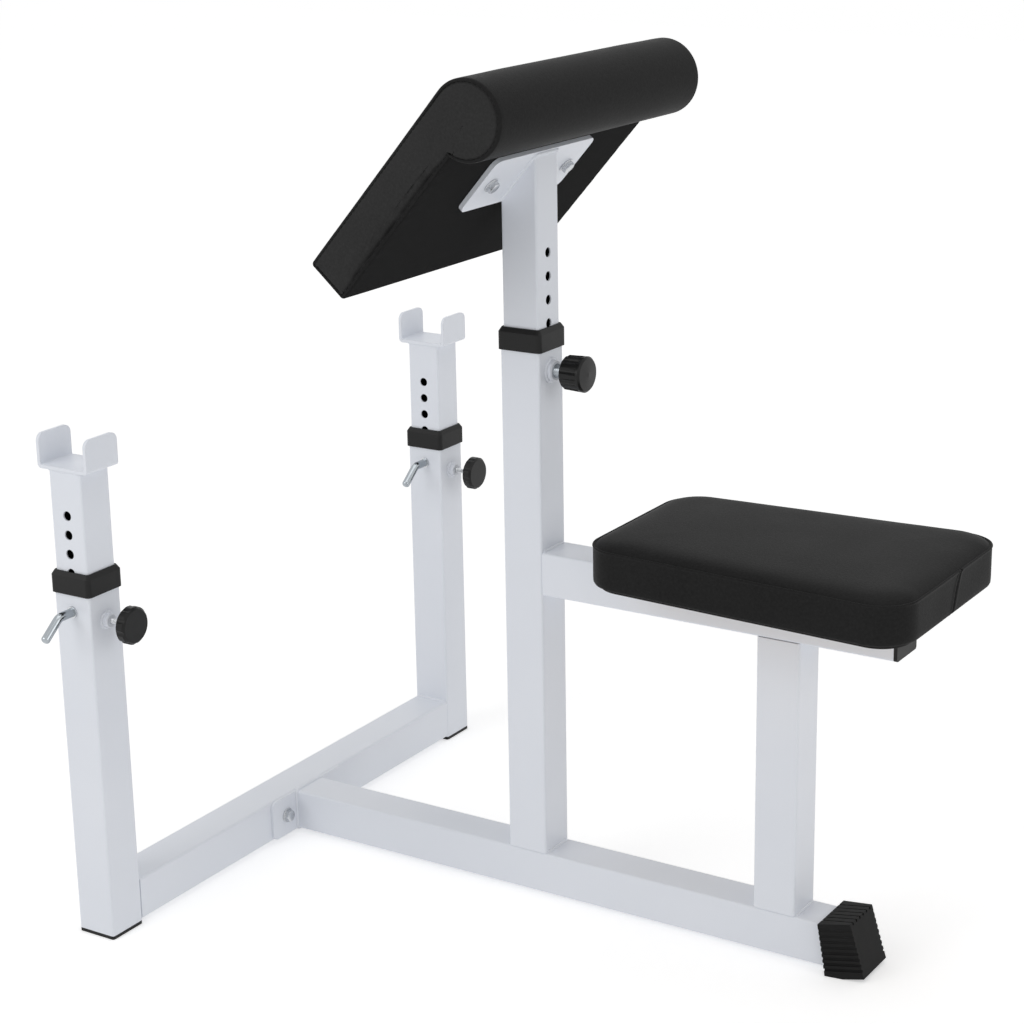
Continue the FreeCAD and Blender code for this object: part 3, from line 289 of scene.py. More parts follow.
main_low, main_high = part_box("main_upright")
rear_low, rear_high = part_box("rear_post")
base_low, base_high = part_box("base_tube")
seat_tube_low, seat_tube_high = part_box("seat_tube")
plate_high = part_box("joint_plate")[1]
cross_low, cross_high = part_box("cross_tube")
near_low, near_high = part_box("near_upright")
half_run = 0.0215
corner_lines = [(x, base_high.z) for x in (main_low.x, main_high.x, rear_low.x, rear_high.x)]
corner_lines += [(x, seat_tube_low.z) for x in (rear_low.x, rear_high.x)]
corner_lines += [(main_high.x, z) for z in (seat_tube_low.z, seat_tube_high.z)]
frame_lines = [[(x, -half_run, z), (x, half_run, z)] for x, z in corner_lines]
front_x = (near_low.x + near_high.x) / 2
for y in (cross_low.y, cross_high.y):
    frame_lines.append([(front_x - half_run, y, cross_high.z), (front_x + half_run, y, cross_high.z)])
tube_half = (base_high.y - base_low.y) / 2
base_end = Vector((plate_high.x, 0.0, (base_low.z + base_high.z) / 2))
frame_lines.append(round_square(base_end, Vector((0.0, tube_half, 0.0)), Vector((0.0, 0.0, tube_half))))
bosses = (("near_clamp_nut", near_high.x), ("far_clamp_nut", near_high.x), ("pull_pin_boss", main_high.x))
for boss, face in bosses:
    low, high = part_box(boss)
    middle = (low + high) / 2
    frame_lines.append(ring_run(Vector((face, middle.y, middle.z)), (high.y - low.y) / 2))
weld("frame_welds", "frame", frame_lines)


# Caps, collars and knobs: moulded black plastic with a fine satin texture. The caps and the collars
# are pushed into and onto the tubes, and the knobs are moulded onto their studs.


def moulded_plastic(name, shade, gloss):
    """Moulded plastic of a grey shade; gloss is the roughness of its smoothest spots"""
    material, shader, spot = new_finish(name)
    cloud = mottle(spot, 30.0, 3.0)
    texture = mottle(spot, 1900.0, 1.0)
    feed(shader, {
        "Base Color": shade_between(cloud, [0.8 * shade] * 3, [1.2 * shade] * 3),
        "Roughness": gloss + 0.10 * mottle(spot, 90.0, 3.0),
        "Normal": relief(texture, 0.00005, 0.5, 0.0007),
        "Specular IOR Level": 0.21,
    })
    return material


cap_plastic = moulded_plastic("cap_plastic", shade=0.012, gloss=0.42)
knob_plastic = moulded_plastic("knob_plastic", shade=0.011, gloss=0.26)
dress(cap_plastic, "near_foot_cap", "far_foot_cap", "seat_tube_cap")
dress(cap_plastic, "near_collar", "far_collar", "main_collar")
dress(knob_plastic, "pull_knob", "near_clamp_knob", "far_clamp_knob")


# Rear foot: a ribbed boot of black rubber, moulded in one piece and pulled over the base tube's end.
# It is matt, with a trace of pale dust in its grain.

boot_rubber, shader, spot = new_finish("boot_rubber")
dust = mottle(spot, 60.0, 4.0)
grit = mottle(spot, 1300.0, 2.0)
feed(shader, {
    "Base Color": shade_between(dust, (0.0065, 0.0065, 0.0065), (0.016, 0.016, 0.016)),
    "Roughness": 0.55 + 0.20 * dust,
    "Normal": relief(grit, 0.00008, 0.6, 0.0005),
    "Specular IOR Level": 0.12,
})
dress(boot_rubber, "rear_foot")


# Bolts, washers and nuts: bright zinc plated steel. Two bolts join the base tube's plate to the cross
# tube, two hold the seat on its tube, and two hold the arm pad on its plate.


def plated_metal(name, low, high, gloss, streak):
    """Plated metal between two colours, with scratches of 1 / streak metres; gloss as for plastic"""
    material, shader, spot = new_finish(name)
    cloud = mottle(spot, 110.0, 3.0)
    scratch = mottle(spot, streak, 2.0)
    feed(shader, {
        "Base Color": shade_between(cloud, low, high),
        "Metallic": 1.0,
        "Roughness": gloss + 0.14 * cloud,
        "Normal": relief(scratch, 0.00003, 0.4, 0.0003),
    })
    return material


zinc_plate = plated_metal("zinc_plate", (0.50, 0.52, 0.54), (0.66, 0.67, 0.69), gloss=0.20, streak=1500.0)


def skinned(name, rings, sharp=math.radians(32)):
    """A closed mesh over rings of points, whose first and last are drawn to a point or a line"""
    shell = bmesh.new()
    row_mark = shell.verts.layers.int.new("row")
    rows = []
    for number, ring in enumerate(rings):
        rows.append([shell.verts.new(point) for point in ring])
        for corner in rows[-1]:
            corner[row_mark] = number
    for below, above in zip(rows, rows[1:]):
        for i, corner in enumerate(below):
            following = (i + 1) % len(below)
            shell.faces.new((corner, below[following], above[following], above[i]))
    bmesh.ops.remove_doubles(shell, verts=shell.verts, dist=1e-6)
    bmesh.ops.recalc_face_normals(shell, faces=shell.faces)
    for face in shell.faces:
        face.smooth = True
    for edge in shell.edges:
        edge.smooth = edge.calc_face_angle(0.0) < sharp
    mesh = bpy.data.meshes.new(name)
    shell.to_mesh(mesh)
    shell.free()
    piece = bpy.data.objects.new(name, mesh)
    bpy.context.collection.objects.link(piece)
    return piece


def spun(profile, steps=48):
    """Rings about Z from a profile of radius and height, each a number or a rule of the angle"""
    rings = []
    for radius, height in profile:
        ring = []
        for i in range(steps):
            angle = i * math.tau / steps
            out = radius(angle) if callable(radius) else radius
            up = height(angle) if callable(height) else height
            ring.append(Vector((out * math.cos(angle), out * math.sin(angle), up)))
        rings.append(ring)
    return rings


def thread(radius, low, high, pitch, depth):
    """Rows of a screw thread for spun(), cut in and run out over a quarter of its length at each end"""
    rows = []
    rows_a_turn, run_out = 6, 4.0
    count = max(2, round((high - low) / pitch * rows_a_turn))
    for k in range(count + 1):
        height = low + (high - low) * k / count
        share = min(1.0, run_out * k / count, run_out * (count - k) / count)

        def out(angle, height=height, share=share):
            wave = abs(2.0 * ((height / pitch - angle / math.tau) % 1.0) - 1.0)
            return radius - depth * share * wave

        rows.append((out, height))
    return rows


def six_sided(radius):
    """The outline of a hexagon by angle, from the radius of its corners"""
    flat = radius * math.cos(math.pi / 6)
    return lambda angle: flat / math.cos((angle + math.pi / 6) % (math.pi / 3) - math.pi / 6)


def hex_profile(radius, low, high, bore):
    """A six-sided head or nut with turned corners on its low end, open or shut by its bore"""
    hexagon = six_sided(radius)
    crown_share = 0.94
    crown = crown_share * radius * math.cos(math.pi / 6)

    def turned(angle):
        return low + max(0.0, hexagon(angle) - crown) * math.tan(math.pi / 6)

    return [(bore, low), (crown, low), (hexagon, turned), (hexagon, high), (bore, high)]


def bolt_rings(head_radius, head_height, radius, length):
    """A bolt standing on its head, which lies below zero; the shank is plain first and then threaded"""
    plain, tip, pitch, depth = 0.3 * length, 0.001, 0.00125, 0.0006
    head = hex_profile(head_radius, -head_height, 0.0, 0.0)[:-1]
    shank = [(radius, 0.0), (radius, plain)]
    shank += thread(radius, plain, length - tip, pitch, depth)
    return spun(head + shank + [(radius - tip, length), (0.0, length)])


def washer_rings(radius, bore, thickness):
    """A flat washer with eased outer edges"""
    ease = 0.0003
    profile = [(bore, 0.0), (radius - ease, 0.0), (radius, ease), (radius, thickness - ease),
               (radius - ease, thickness), (bore, thickness), (bore, 0.0)]
    return spun(profile)


def nut_rings(radius, height, bore):
    """A six-sided nut with a plain bore"""
    return spun(hex_profile(radius, 0.0, height, bore) + [(bore, 0.0)])


given = new_tree("fasteners", [("Places", "Geometry"), ("Fastener", "Object"), ("Finish", "Material")])
template = given.add("GeometryNodeObjectInfo", (), {"Object": given.out("Fastener")}).out("Geometry")
copies = given.add("GeometryNodeInstanceOnPoints", (), {"Points": given, "Instance": template})
fasteners = close_tree(copies, given.out("Finish"), smooth=False)

bolt_size = {"head_radius": 0.0075, "head_height": 0.0053, "radius": 0.004}
washer_thickness = 0.0016
washer = washer_rings(radius=0.009, bore=0.0043, thickness=washer_thickness)


def fixings(name, body, parts, lean, places, replaced):
    """Like fasteners at several places: parts are rings with their height along the bolt"""
    joined = bmesh.new()
    for rings, height in parts:
        shape = skinned("shape", rings)
        shape.data.transform(lean @ Matrix.Translation((0.0, 0.0, height)))
        joined.from_mesh(shape.data)
        bpy.data.objects.remove(shape)
    mesh = bpy.data.meshes.new("fixing")
    joined.to_mesh(mesh)
    joined.free()
    pattern = bpy.data.objects.new("fixing", mesh)
    bpy.context.collection.objects.link(pattern)
    points = bpy.data.meshes.new(name)
    points.from_pydata([tuple(place) for place in places], [], [])
    piece = grown(name, fasteners, points, {"Fastener": pattern, "Finish": zinc_plate})
    bpy.data.objects.remove(pattern)
    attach(piece, body)
    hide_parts(*replaced)


joint_low, joint_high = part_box("joint_bolts")
nut_low, nut_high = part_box("joint_nuts")
washers_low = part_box("joint_washers")[0]
forwards = Matrix.Rotation(-math.pi / 2, 4, "Y")
under_head = plate_high.x + washer_thickness
joint_bolt = bolt_rings(length=under_head - joint_low.x, **bolt_size)
joint_nut = nut_rings(bolt_size["head_radius"], nut_high.x - nut_low.x, bore=0.0041)
joint_parts = [(joint_bolt, 0.0), (joint_nut, under_head - nut_high.x)]
joint_parts += [(washer, 0.0), (washer, under_head - washers_low.x - washer_thickness)]
joint_bolt_y, joint_bolt_z = 0.045, (joint_low.z + joint_high.z) / 2
fixings("joint_fasteners", "frame", joint_parts, forwards,
        [(under_head, y, joint_bolt_z) for y in (-joint_bolt_y, joint_bolt_y)],
        ["joint_bolts", "joint_washers", "joint_nuts"])

seat_bolt_x = (0.147, 0.357)
seat_bolt_z = seat_tube_low.z - washer_thickness
seat_bolt = bolt_rings(length=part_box("seat_bolts")[1].z - seat_bolt_z, **bolt_size)
fixings("seat_fasteners", "frame", [(seat_bolt, 0.0), (washer, 0.0)], Matrix.Identity(4),
        [(x, 0.0, seat_bolt_z) for x in seat_bolt_x], ["seat_bolts", "seat_washers"])


# Barbell rests: a drilled post of 45 mm square tube slides in each upright and carries a cradle, a
# strip of steel bent up at both ends and welded on the post. Coated white and bare within, where the
# post is coloured near black as painted shade.

coated_wall = 0.0016
for side in ("near", "far"):
    low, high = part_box(side + "_post")
    middle = (low + high) / 2
    half = (high.x - low.x) / 2
    dress(powder_coat(side + "_post_coat", (middle.x, middle.y, half - coated_wall)), side + "_post")
    dress(frame_coat, side + "_cradle")
    top = Vector((middle.x, middle.y, high.z))
    weld(side + "_rest_welds", side + "_rest",
         [round_square(top, Vector((half, 0.0, 0.0)), Vector((0.0, half, 0.0)))], radius=0.0018)


# Lock pins: chromed steel rods, bent over at the outer end as a grip. Each slides in a zinc plated
# bush in its upright's wall and goes into a hole of the post.

# Both colours are darker than bright chrome: painted shade for the darker surroundings that the pins mirror
chrome = plated_metal("chrome", (0.33, 0.36, 0.39), (0.45, 0.48, 0.50), gloss=0.08, streak=900.0)
dress(chrome, "near_lock_pin", "far_lock_pin")
dress(zinc_plate, "near_pin_bush", "far_pin_bush")


# Clamp screws: threaded zinc plated studs in bosses on the uprights, with a fluted knob outside and a
# nylon shoe inside that presses on the post.

nylon, shader, spot = new_finish("nylon")
cloud = mottle(spot, 120.0, 3.0)
feed(shader, {
    "Base Color": shade_between(cloud, (0.72, 0.71, 0.66), (0.82, 0.81, 0.77)),
    "Roughness": 0.38 + 0.12 * cloud,
    "Normal": relief(mottle(spot, 1500.0), 0.00004, 0.5, 0.0003),
    "Subsurface Weight": 0.1,
    "Subsurface Scale": 0.002,
})
dress(nylon, "near_clamp_shoe", "far_clamp_shoe")

rearwards = Matrix(((0, 0, 1, 0), (1, 0, 0, 0), (0, 1, 0, 0), (0, 0, 0, 1)))
stud_tip, stud_pitch, stud_depth = 0.0005, 0.001, 0.0005
for side in ("near", "far"):
    low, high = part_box(side + "_clamp_stud")
    middle = (low + high) / 2
    radius = (high.z - low.z) / 2
    length = high.x - low.x
    rows = [(0.0, 0.0), (radius - stud_tip, 0.0)]
    rows += thread(radius, stud_tip, length - stud_tip, stud_pitch, stud_depth)
    rows += [(radius - stud_tip, length), (0.0, length)]
    stud = skinned(side + "_threaded_stud", spun(rows, steps=28), sharp=math.radians(60))
    stud.data.transform(Matrix.Translation((low.x, middle.y, middle.z)) @ rearwards)
    stud.data.materials.append(zinc_plate)
    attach(stud, side + "_clamp")
    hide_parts(side + "_clamp_stud")


# Pull pin: a chromed pin in a chromed sleeve, pressed into the post's hole by a coil spring inside the
# sleeve and drawn out by its deeply fluted knob. The sleeve sits in a boss welded on the upright.

dress(chrome, "pull_pin", "pull_pin_spring")
sleeve_chrome, shader, spot = new_finish("sleeve_chrome")
place = spot.add("ShaderNodeSeparateXYZ", (), {"Vector": spot})
turns_a_metre = 900.0
turns = spot.reckon("PINGPONG", place.out("X") * turns_a_metre, 0.5)
cloud = mottle(spot, 110.0, 3.0)
feed(shader, {
    # The colours are darker than bright chrome: painted shade for the darker surroundings that the sleeve
    # mirrors
    "Base Color": shade_between(cloud, (0.36, 0.39, 0.42), (0.48, 0.51, 0.53)),
    "Metallic": 1.0,
    "Roughness": 0.16 + 0.12 * cloud,
    "Normal": relief(turns, 0.0004, 0.5, 0.0003),
})
dress(sleeve_chrome, "pull_pin_sleeve")


# Arm pad post: 45 mm square tube, drilled for the pull pin and sawn off at a slant at the top, where
# the pad's plate is welded on. Two zinc plated bolts hold the pad on the plate.

post_low, post_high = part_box("arm_post")
post_middle = (post_low + post_high) / 2
post_half = (post_high.y - post_low.y) / 2
# The post is bare steel within, coloured near black there as painted shade
dress(powder_coat("arm_post_coat", (post_middle.x, post_middle.y, post_half - coated_wall)), "arm_post")
dress(frame_coat, "pad_plate")

slope = math.radians(48.7)
up_slope = Vector((math.cos(slope), 0.0, math.sin(slope)))
off_slope = Vector((-math.sin(slope), 0.0, math.cos(slope)))
pad_plate_low, pad_plate_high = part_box("pad_plate")
plate_thickness = 0.005
plate_middle = (pad_plate_low + pad_plate_high) / 2 - off_slope * plate_thickness / 2
on_slope = Matrix.Rotation(-slope, 4, "Y")
weld("arm_welds", "arm", [round_square(plate_middle, up_slope * post_half / math.cos(slope),
                                       Vector((0.0, post_half, 0.0)))])

pad_bolt_y, pad_bolt_length = 0.076, 0.020
pad_bolt = bolt_rings(length=pad_bolt_length, **bolt_size)
under_plate = plate_middle - off_slope * washer_thickness
pad_bolt_places = [under_plate + Vector((0.0, y, 0.0)) for y in (-pad_bolt_y, pad_bolt_y)]
fixings("pad_fasteners", "arm", [(pad_bolt, 0.0), (washer, 0.0)], on_slope, pad_bolt_places,
        ["pad_bolts", "pad_washers"])


# Arm pad: foam on a plywood board, wrapped in grained black vinyl. The top panel runs over the roll at
# the upper end, and an end panel is sewn in at each side. The cover is gathered along their lower seams.
# The end panels are coloured lighter than the rest of the same vinyl: painted light.


def grained_vinyl(name, low, high):
    """Grained vinyl between two greys, with small cells, fine creases and worn patches"""
    material, shader, spot = new_finish(name)
    cells = spot.add("ShaderNodeTexVoronoi", {"feature": "SMOOTH_F1"},
                     {"Vector": spot, "Scale": 620.0, "Smoothness": 0.35, "Randomness": 0.9})
    creases = mottle(spot, 260.0, 4.0)
    grain = cells * 0.7 + creases * 0.5
    worn = mottle(spot, 13.0, 4.0)
    pores = mottle(spot, 330.0, 3.0)
    feed(shader, {
        "Base Color": shade_between(0.4 * worn + 0.6 * pores, [low] * 3, [high] * 3),
        "Roughness": 0.48 + 0.14 * worn - 0.08 * cells,
        "Normal": relief(grain, 0.00025, 0.6),
        "Specular IOR Level": 0.04,
    })
    return material


vinyl = grained_vinyl("vinyl", low=0.008, high=0.026)
# A lighter copy of the same vinyl for the end panels: painted light, for the brighter light that falls on
# them
lit_panel_vinyl = grained_vinyl("lit_panel_vinyl", low=0.018, high=0.044)

given = new_tree("stitches", [("Line", "Geometry"), ("Pitch", "Float"), ("Stitch Length", "Float"),
                              ("Thread Radius", "Float"), ("Finish", "Material")])
line = given.add("GeometryNodeMeshToCurve", (), {"Mesh": given})
places = given.add("GeometryNodeCurveToPoints", {"mode": "LENGTH"},
                   {"Curve": line, "Length": given.out("Pitch")})
stitch = given.add("GeometryNodeMeshUVSphere", (), {"Segments": 6, "Rings": 5, "Radius": 0.5})
thickness = given.out("Thread Radius") * 2.0
stitch_size = given.add("ShaderNodeCombineXYZ", (),
                        {"X": thickness, "Y": thickness, "Z": given.out("Stitch Length")})
row = given.add("GeometryNodeInstanceOnPoints", (), {
    "Points": places, "Instance": stitch, "Rotation": places.out("Rotation"), "Scale": stitch_size})
stitches = close_tree(row, given.out("Finish"))

thread_black, shader, spot = new_finish("thread_black")
twist = mottle(spot, 2600.0, 2.0)
feed(shader, {
    "Base Color": shade_between(twist, (0.007, 0.007, 0.007), (0.014, 0.014, 0.014)),
    "Roughness": 0.60 + 0.2 * twist,
    "Normal": relief(twist, 0.0001, 0.6),
    "Specular IOR Level": 0.05,
})


def stitched(name, body, lines):
    """Stitches along runs of points, riding on a body"""
    values = {"Pitch": 0.0062, "Stitch Length": 0.0042, "Thread Radius": 0.0003, "Finish": thread_black}
    piece = grown(name, stitches, lines_mesh(name, lines), values)
    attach(piece, body)


def swell(piece, held, cap, pressure=4.0):
    """Blow the closed cover up as foam does, outwards and no further than the cap, and smooth the swell"""
    voxel, last_frame, smoothings = 0.005, 20, 12
    neighbours, spread = 24, 0.007
    scene = bpy.context.scene
    cover = bpy.data.objects.new("cover", piece.data.copy())
    bpy.context.collection.objects.link(cover)
    remesh = cover.modifiers.new("remesh", "REMESH")
    remesh.mode = "VOXEL"
    remesh.voxel_size = voxel
    bpy.context.view_layer.update()
    shown = cover.evaluated_get(bpy.context.evaluated_depsgraph_get())
    even = bpy.data.meshes.new_from_object(shown)
    cover.modifiers.remove(remesh)
    cover.data = even
    at_rest = [corner.co.copy() for corner in even.vertices]
    fixed = cover.vertex_groups.new(name="held")
    fixed.add([i for i, place in enumerate(at_rest) if held(place)], 1.0, "REPLACE")
    cloth = cover.modifiers.new("cloth", "CLOTH")
    cloth.settings.use_pressure = True
    cloth.settings.uniform_pressure_force = pressure
    cloth.settings.vertex_group_mass = "held"
    cloth.settings.effector_weights.gravity = 0.0
    cloth.point_cache.frame_start = 1
    cloth.point_cache.frame_end = last_frame
    for number in range(1, last_frame + 1):
        scene.frame_set(number)
    shown = cover.evaluated_get(bpy.context.evaluated_depsgraph_get())
    blown = shown.to_mesh()
    outs = [corner.normal.copy() for corner in even.vertices]
    amounts = [min(cap, max(0.0, (corner.co - place).dot(out)))
               for place, corner, out in zip(at_rest, blown.vertices, outs)]
    shown.to_mesh_clear()
    beside = [[] for place in at_rest]
    for edge in even.edges:
        first, second = edge.vertices
        beside[first].append(second)
        beside[second].append(first)
    for _ in range(smoothings):
        amounts = [(amount + sum(amounts[i] for i in near) / max(1, len(near))) / 2
                   for amount, near in zip(amounts, beside)]
    moves = [out * amount for out, amount in zip(outs, amounts)]
    scene.frame_set(1)
    bpy.data.objects.remove(cover)
    nearest = kdtree.KDTree(len(at_rest))
    for i, place in enumerate(at_rest):
        nearest.insert(place, i)
    nearest.balance()
    for corner in piece.data.vertices:
        total = Vector()
        weight = 0.0
        for place, i, distance in nearest.find_n(corner.co, neighbours):
            part = math.exp(-((distance / spread) ** 2)) + 1e-6
            total += moves[i] * part
            weight += part
        corner.co += total / weight


def row_places(piece, number):
    """Where the points of one ring have come to lie"""
    marks = piece.data.attributes["row"].data
    return [corner.co.copy() for corner, mark in zip(piece.data.vertices, marks) if mark.value == number]


def eased(share):
    """A share held between 0 and 1, with a soft start and end"""
    share = min(1.0, max(0.0, share))
    return share * share * (3.0 - 2.0 * share)


lining, shader, spot = new_finish("lining")
weave = mottle(spot, 1400.0, 3.0)
feed(shader, {
    "Base Color": shade_between(weave, (0.010, 0.010, 0.010), (0.022, 0.022, 0.022)),
    "Roughness": 0.75 + 0.15 * weave,
    "Normal": relief(weave, 0.0002, 0.6),
    "Specular IOR Level": 0.02,
})

pad_low, pad_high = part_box("arm_pad")
pad_half = (pad_high.y - pad_low.y) / 2
slab_low, slab_top = 0.005, 0.0578
slab_foot, foot_corner = -0.1504, 0.0042
roll_x, roll_z, roll_radius = 0.100, 0.0156, 0.0422
end_curve, under_curve = 0.0034, 0.0036
crown_height, crown_reach = 0.0028, 0.09
pad_swell = 0.0012
seam_y = pad_half - pad_swell
slab_steps, roll_steps, notch_steps, corner_steps, foot_steps = 84, 80, 12, 5, 7
roll_lift, foot_lift = 0.4, 0.4


def facing(turn):
    """The way out of the pad's outline, by its turn from the upper end"""
    return Vector((math.cos(turn), 0.0, math.sin(turn)))


notch_turn = math.asin((slab_low - roll_z) / roll_radius)
notch_x = roll_x - roll_radius * math.cos(notch_turn)
foot_x = slab_foot + foot_corner
core_foot = Vector((slab_foot + 0.024, 0.0, 0.030))
core_roll = Vector((roll_x - 0.003, 0.0, 0.014))

# The pad's outline, from the foot over the top, the roll and the underside: each point's place, the way
# out, the core that the end panel runs to, the radius of the edge, and its share of the crown
outline = []
for i in range(slab_steps + 1):
    share = i / slab_steps
    place = Vector((foot_x + (roll_x - slab_foot - foot_corner) * share, 0.0, slab_top))
    lift = 1.0 - (1.0 - roll_lift) * eased((share - 0.7) / 0.3)
    outline.append((place, Vector((0, 0, 1)), core_foot.lerp(core_roll, share), end_curve, lift))
for i in range(1, roll_steps):
    out = facing(math.pi / 2 - (1.5 * math.pi - notch_turn) * i / roll_steps)
    place = Vector((roll_x, 0.0, roll_z)) + out * roll_radius
    curve = end_curve + (under_curve - end_curve) * eased((i - roll_steps + notch_steps) / notch_steps)
    outline.append((place, out, core_roll, curve, roll_lift * max(0.0, out.z)))
for i in range(1, notch_steps):
    out = facing(notch_turn - math.pi + (math.pi / 2 - notch_turn) * i / notch_steps)
    outline.append((Vector((notch_x, 0.0, slab_low)), out, core_roll, under_curve, 0.0))
for i in range(slab_steps + 1):
    share = i / slab_steps
    place = Vector((notch_x + (foot_x - notch_x) * share, 0.0, slab_low))
    outline.append((place, Vector((0, 0, -1)), core_roll.lerp(core_foot, share), under_curve, 0.0))
for i in range(1, corner_steps + 1):
    out = facing(math.pi * 1.5 - math.pi / 2 * i / corner_steps)
    place = Vector((foot_x, 0.0, slab_low + foot_corner)) + out * foot_corner
    curve = under_curve + (end_curve - under_curve) * eased(i / corner_steps)
    outline.append((place, out, core_foot, curve, 0.0))
for i in range(1, foot_steps):
    height = slab_low + foot_corner + (slab_top - slab_low - 2 * foot_corner) * i / foot_steps
    outline.append((Vector((slab_foot, 0.0, height)), Vector((-1, 0, 0)), core_foot, end_curve, 0.0))
for i in range(corner_steps):
    out = facing(math.pi - math.pi / 2 * i / corner_steps)
    place = Vector((foot_x, 0.0, slab_top - foot_corner)) + out * foot_corner
    outline.append((place, out, core_foot, end_curve, foot_lift * i / corner_steps))
rim = [point[0] for point in outline]


def gathered(place, out):
    """How much the cover is gathered: along the lower seam only, away from the roll and the foot"""
    off_roll = eased((notch_x - 0.006 - place.x) / 0.03)
    off_foot = eased((place.x - slab_foot - 0.010) / 0.03)
    return off_roll * off_foot * max(0.0, -out.z)


def pucker(place, side):
    """Small waves of the cover where it is gathered by the seam, fuller on the near side"""
    slow = math.sin(place.x * 205.0 + side) * math.sin(place.x * 67.0 + 2.0 * side)
    quick = math.sin(place.x * 390.0 + 2.0 * side)
    fullness = 1.0 if side < 0 else 0.3
    return fullness * (0.0004 * (1.0 + slow) + 0.0002 * quick)


def pulled_flat(place, out):
    """How far the seam lies flush with the cover: along the slab's top edge, away from the roll"""
    return eased((out.z - 0.6) / 0.3) * eased((roll_x - 0.005 - place.x) / 0.05)


def bulge(point):
    """How far the end panel stands out at a point, from its distance to the panel's outline"""
    height, reach = 0.0018, 0.022
    to_rim = min((place.x - point.x) ** 2 + (place.z - point.z) ** 2 for place in rim)
    return height * eased(math.sqrt(to_rim) / reach)


edge_degrees = (0, 12, 24, 36, 48, 60, 72, 84)
seam_profile = ((0.0002, -0.0008), (0.0006, -0.0016), (0.0011, -0.0014), (0.0017, -0.0007),
                (0.0026, -0.0002), (0.0040, 0.0))
seam_width = seam_profile[-1][0]
panel_shares = (0.05, 0.10, 0.16, 0.23, 0.31, 0.40, 0.50, 0.61, 0.73, 0.86, 1.0)
gather_width, gather_depth, gather_wave = 1.5, 2.0, 1.6


def end_rings(side):
    """Rings over one end, from the body's edge over the seam to the middle of the end panel"""
    rings = []
    for degrees in edge_degrees:
        turn = math.radians(degrees)
        ring = []
        for place, out, core, curve, lift in outline:
            deep = place - out * curve * (1.0 - math.cos(turn))
            deep = deep - out * pucker(place, side) * gathered(place, out)
            ring.append(deep + Vector((0.0, side * (seam_y - curve + curve * math.sin(turn)), 0.0)))
        rings.append(ring)
    for inset, depth in seam_profile:
        ring = []
        for place, out, core, curve, lift in outline:
            pull = gathered(place, out)
            lump = 0.7 + 0.3 * math.sin(place.x * 130.0 + side) * math.sin(place.x * 59.0 + 1.0)
            wave = pucker(place, side) * pull * gather_wave
            deep = place - out * (curve + inset * (1.0 + gather_width * pull))
            depth_here = depth * (1.0 + gather_depth * pull * lump - 0.7 * pulled_flat(place, out))
            ring.append(deep + Vector((0.0, side * (seam_y + bulge(deep) + depth_here - wave), 0.0)))
        rings.append(ring)
    for share in panel_shares:
        ring = []
        for place, out, core, curve, lift in outline:
            pull = gathered(place, out)
            wave = pucker(place, side) * pull * gather_wave * eased(1.0 - share / 0.5)
            point = (place - out * (curve + seam_width * (1.0 + gather_width * pull))).lerp(core, share)
            ring.append(point + Vector((0.0, side * (seam_y + bulge(point) - wave), 0.0)))
        rings.append(ring)
    return rings


near_end = end_rings(-1)
far_end = end_rings(1)
body_rings = []
body_count, body_half, gather_reach = 110, seam_y - 0.006, 0.030
for k in range(1, body_count):
    y = -body_half + 2 * body_half * k / body_count
    swelling = crown_height * eased((seam_y - abs(y)) / crown_reach)
    fade = eased((abs(y) - seam_y + gather_reach) / gather_reach)
    ring = []
    for place, out, core, curve, lift in outline:
        wave = pucker(place, math.copysign(1, y)) * gathered(place, out) * fade
        ring.append(place - out * wave + Vector((0.0, y, swelling * lift)))
    body_rings.append(ring)
pad_rings = near_end[::-1] + body_rings + far_end
last_row = len(pad_rings) - 1
groove_row = len(near_end) - 1 - (len(edge_degrees) + 1)
groove_rows = (groove_row, last_row - groove_row)
upholstered_pad = skinned("upholstered_arm_pad", pad_rings, math.pi)

# The end panels' rings close on a line, and easing their points lets the panels run smoothly over it
eased_rows, easings = 10, 10
relaxed = bmesh.new()
relaxed.from_mesh(upholstered_pad.data)
marks = relaxed.verts.layers.int["row"]
inner = [corner for corner in relaxed.verts
         if corner[marks] < eased_rows or corner[marks] > last_row - eased_rows]
for _ in range(easings):
    bmesh.ops.smooth_vert(relaxed, verts=inner, factor=0.5, use_axis_x=True, use_axis_y=True, use_axis_z=True)
relaxed.to_mesh(upholstered_pad.data)
relaxed.free()

glued_height, glued_past_notch, lining_height = 0.006, 0.01, 0.0012
swell(upholstered_pad,
      lambda place: place.z < slab_low + glued_height and place.x < notch_x + glued_past_notch, pad_swell)
for finish in (vinyl, lit_panel_vinyl, lining):
    upholstered_pad.data.materials.append(finish)
lit_panel_index, lining_index = 1, 2
row_of = [mark.value for mark in upholstered_pad.data.attributes["row"].data]
# Faces of the end panels take the lighter vinyl, which is painted light
for face in upholstered_pad.data.polygons:
    face_rows = [row_of[i] for i in face.vertices]
    if max(face_rows) <= groove_rows[0] or min(face_rows) >= groove_rows[1]:
        face.material_index = lit_panel_index
    elif face.center.z < slab_low + lining_height and face.center.x < notch_x - 0.001:
        face.material_index = lining_index
upholstered_pad.data.transform(Matrix.Translation(plate_middle) @ on_slope)
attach(upholstered_pad, "arm")
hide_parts("arm_pad", "pad_board")
pad_seams = []
thread_stand = 0.0002
for number, side in zip(groove_rows, (-1, 1)):
    proud = Vector((0.0, side * thread_stand, 0.0))
    run = [place + proud for place in row_places(upholstered_pad, number)]
    pad_seams.append(run + [run[0]])
stitched("arm_pad_stitches", "arm", pad_seams)


# Seat: a plywood board with a foam cushion under the same black vinyl. The top panel is sewn to a side
# band, whose seam allowance makes a welt all round, and the band is closed at the rear.

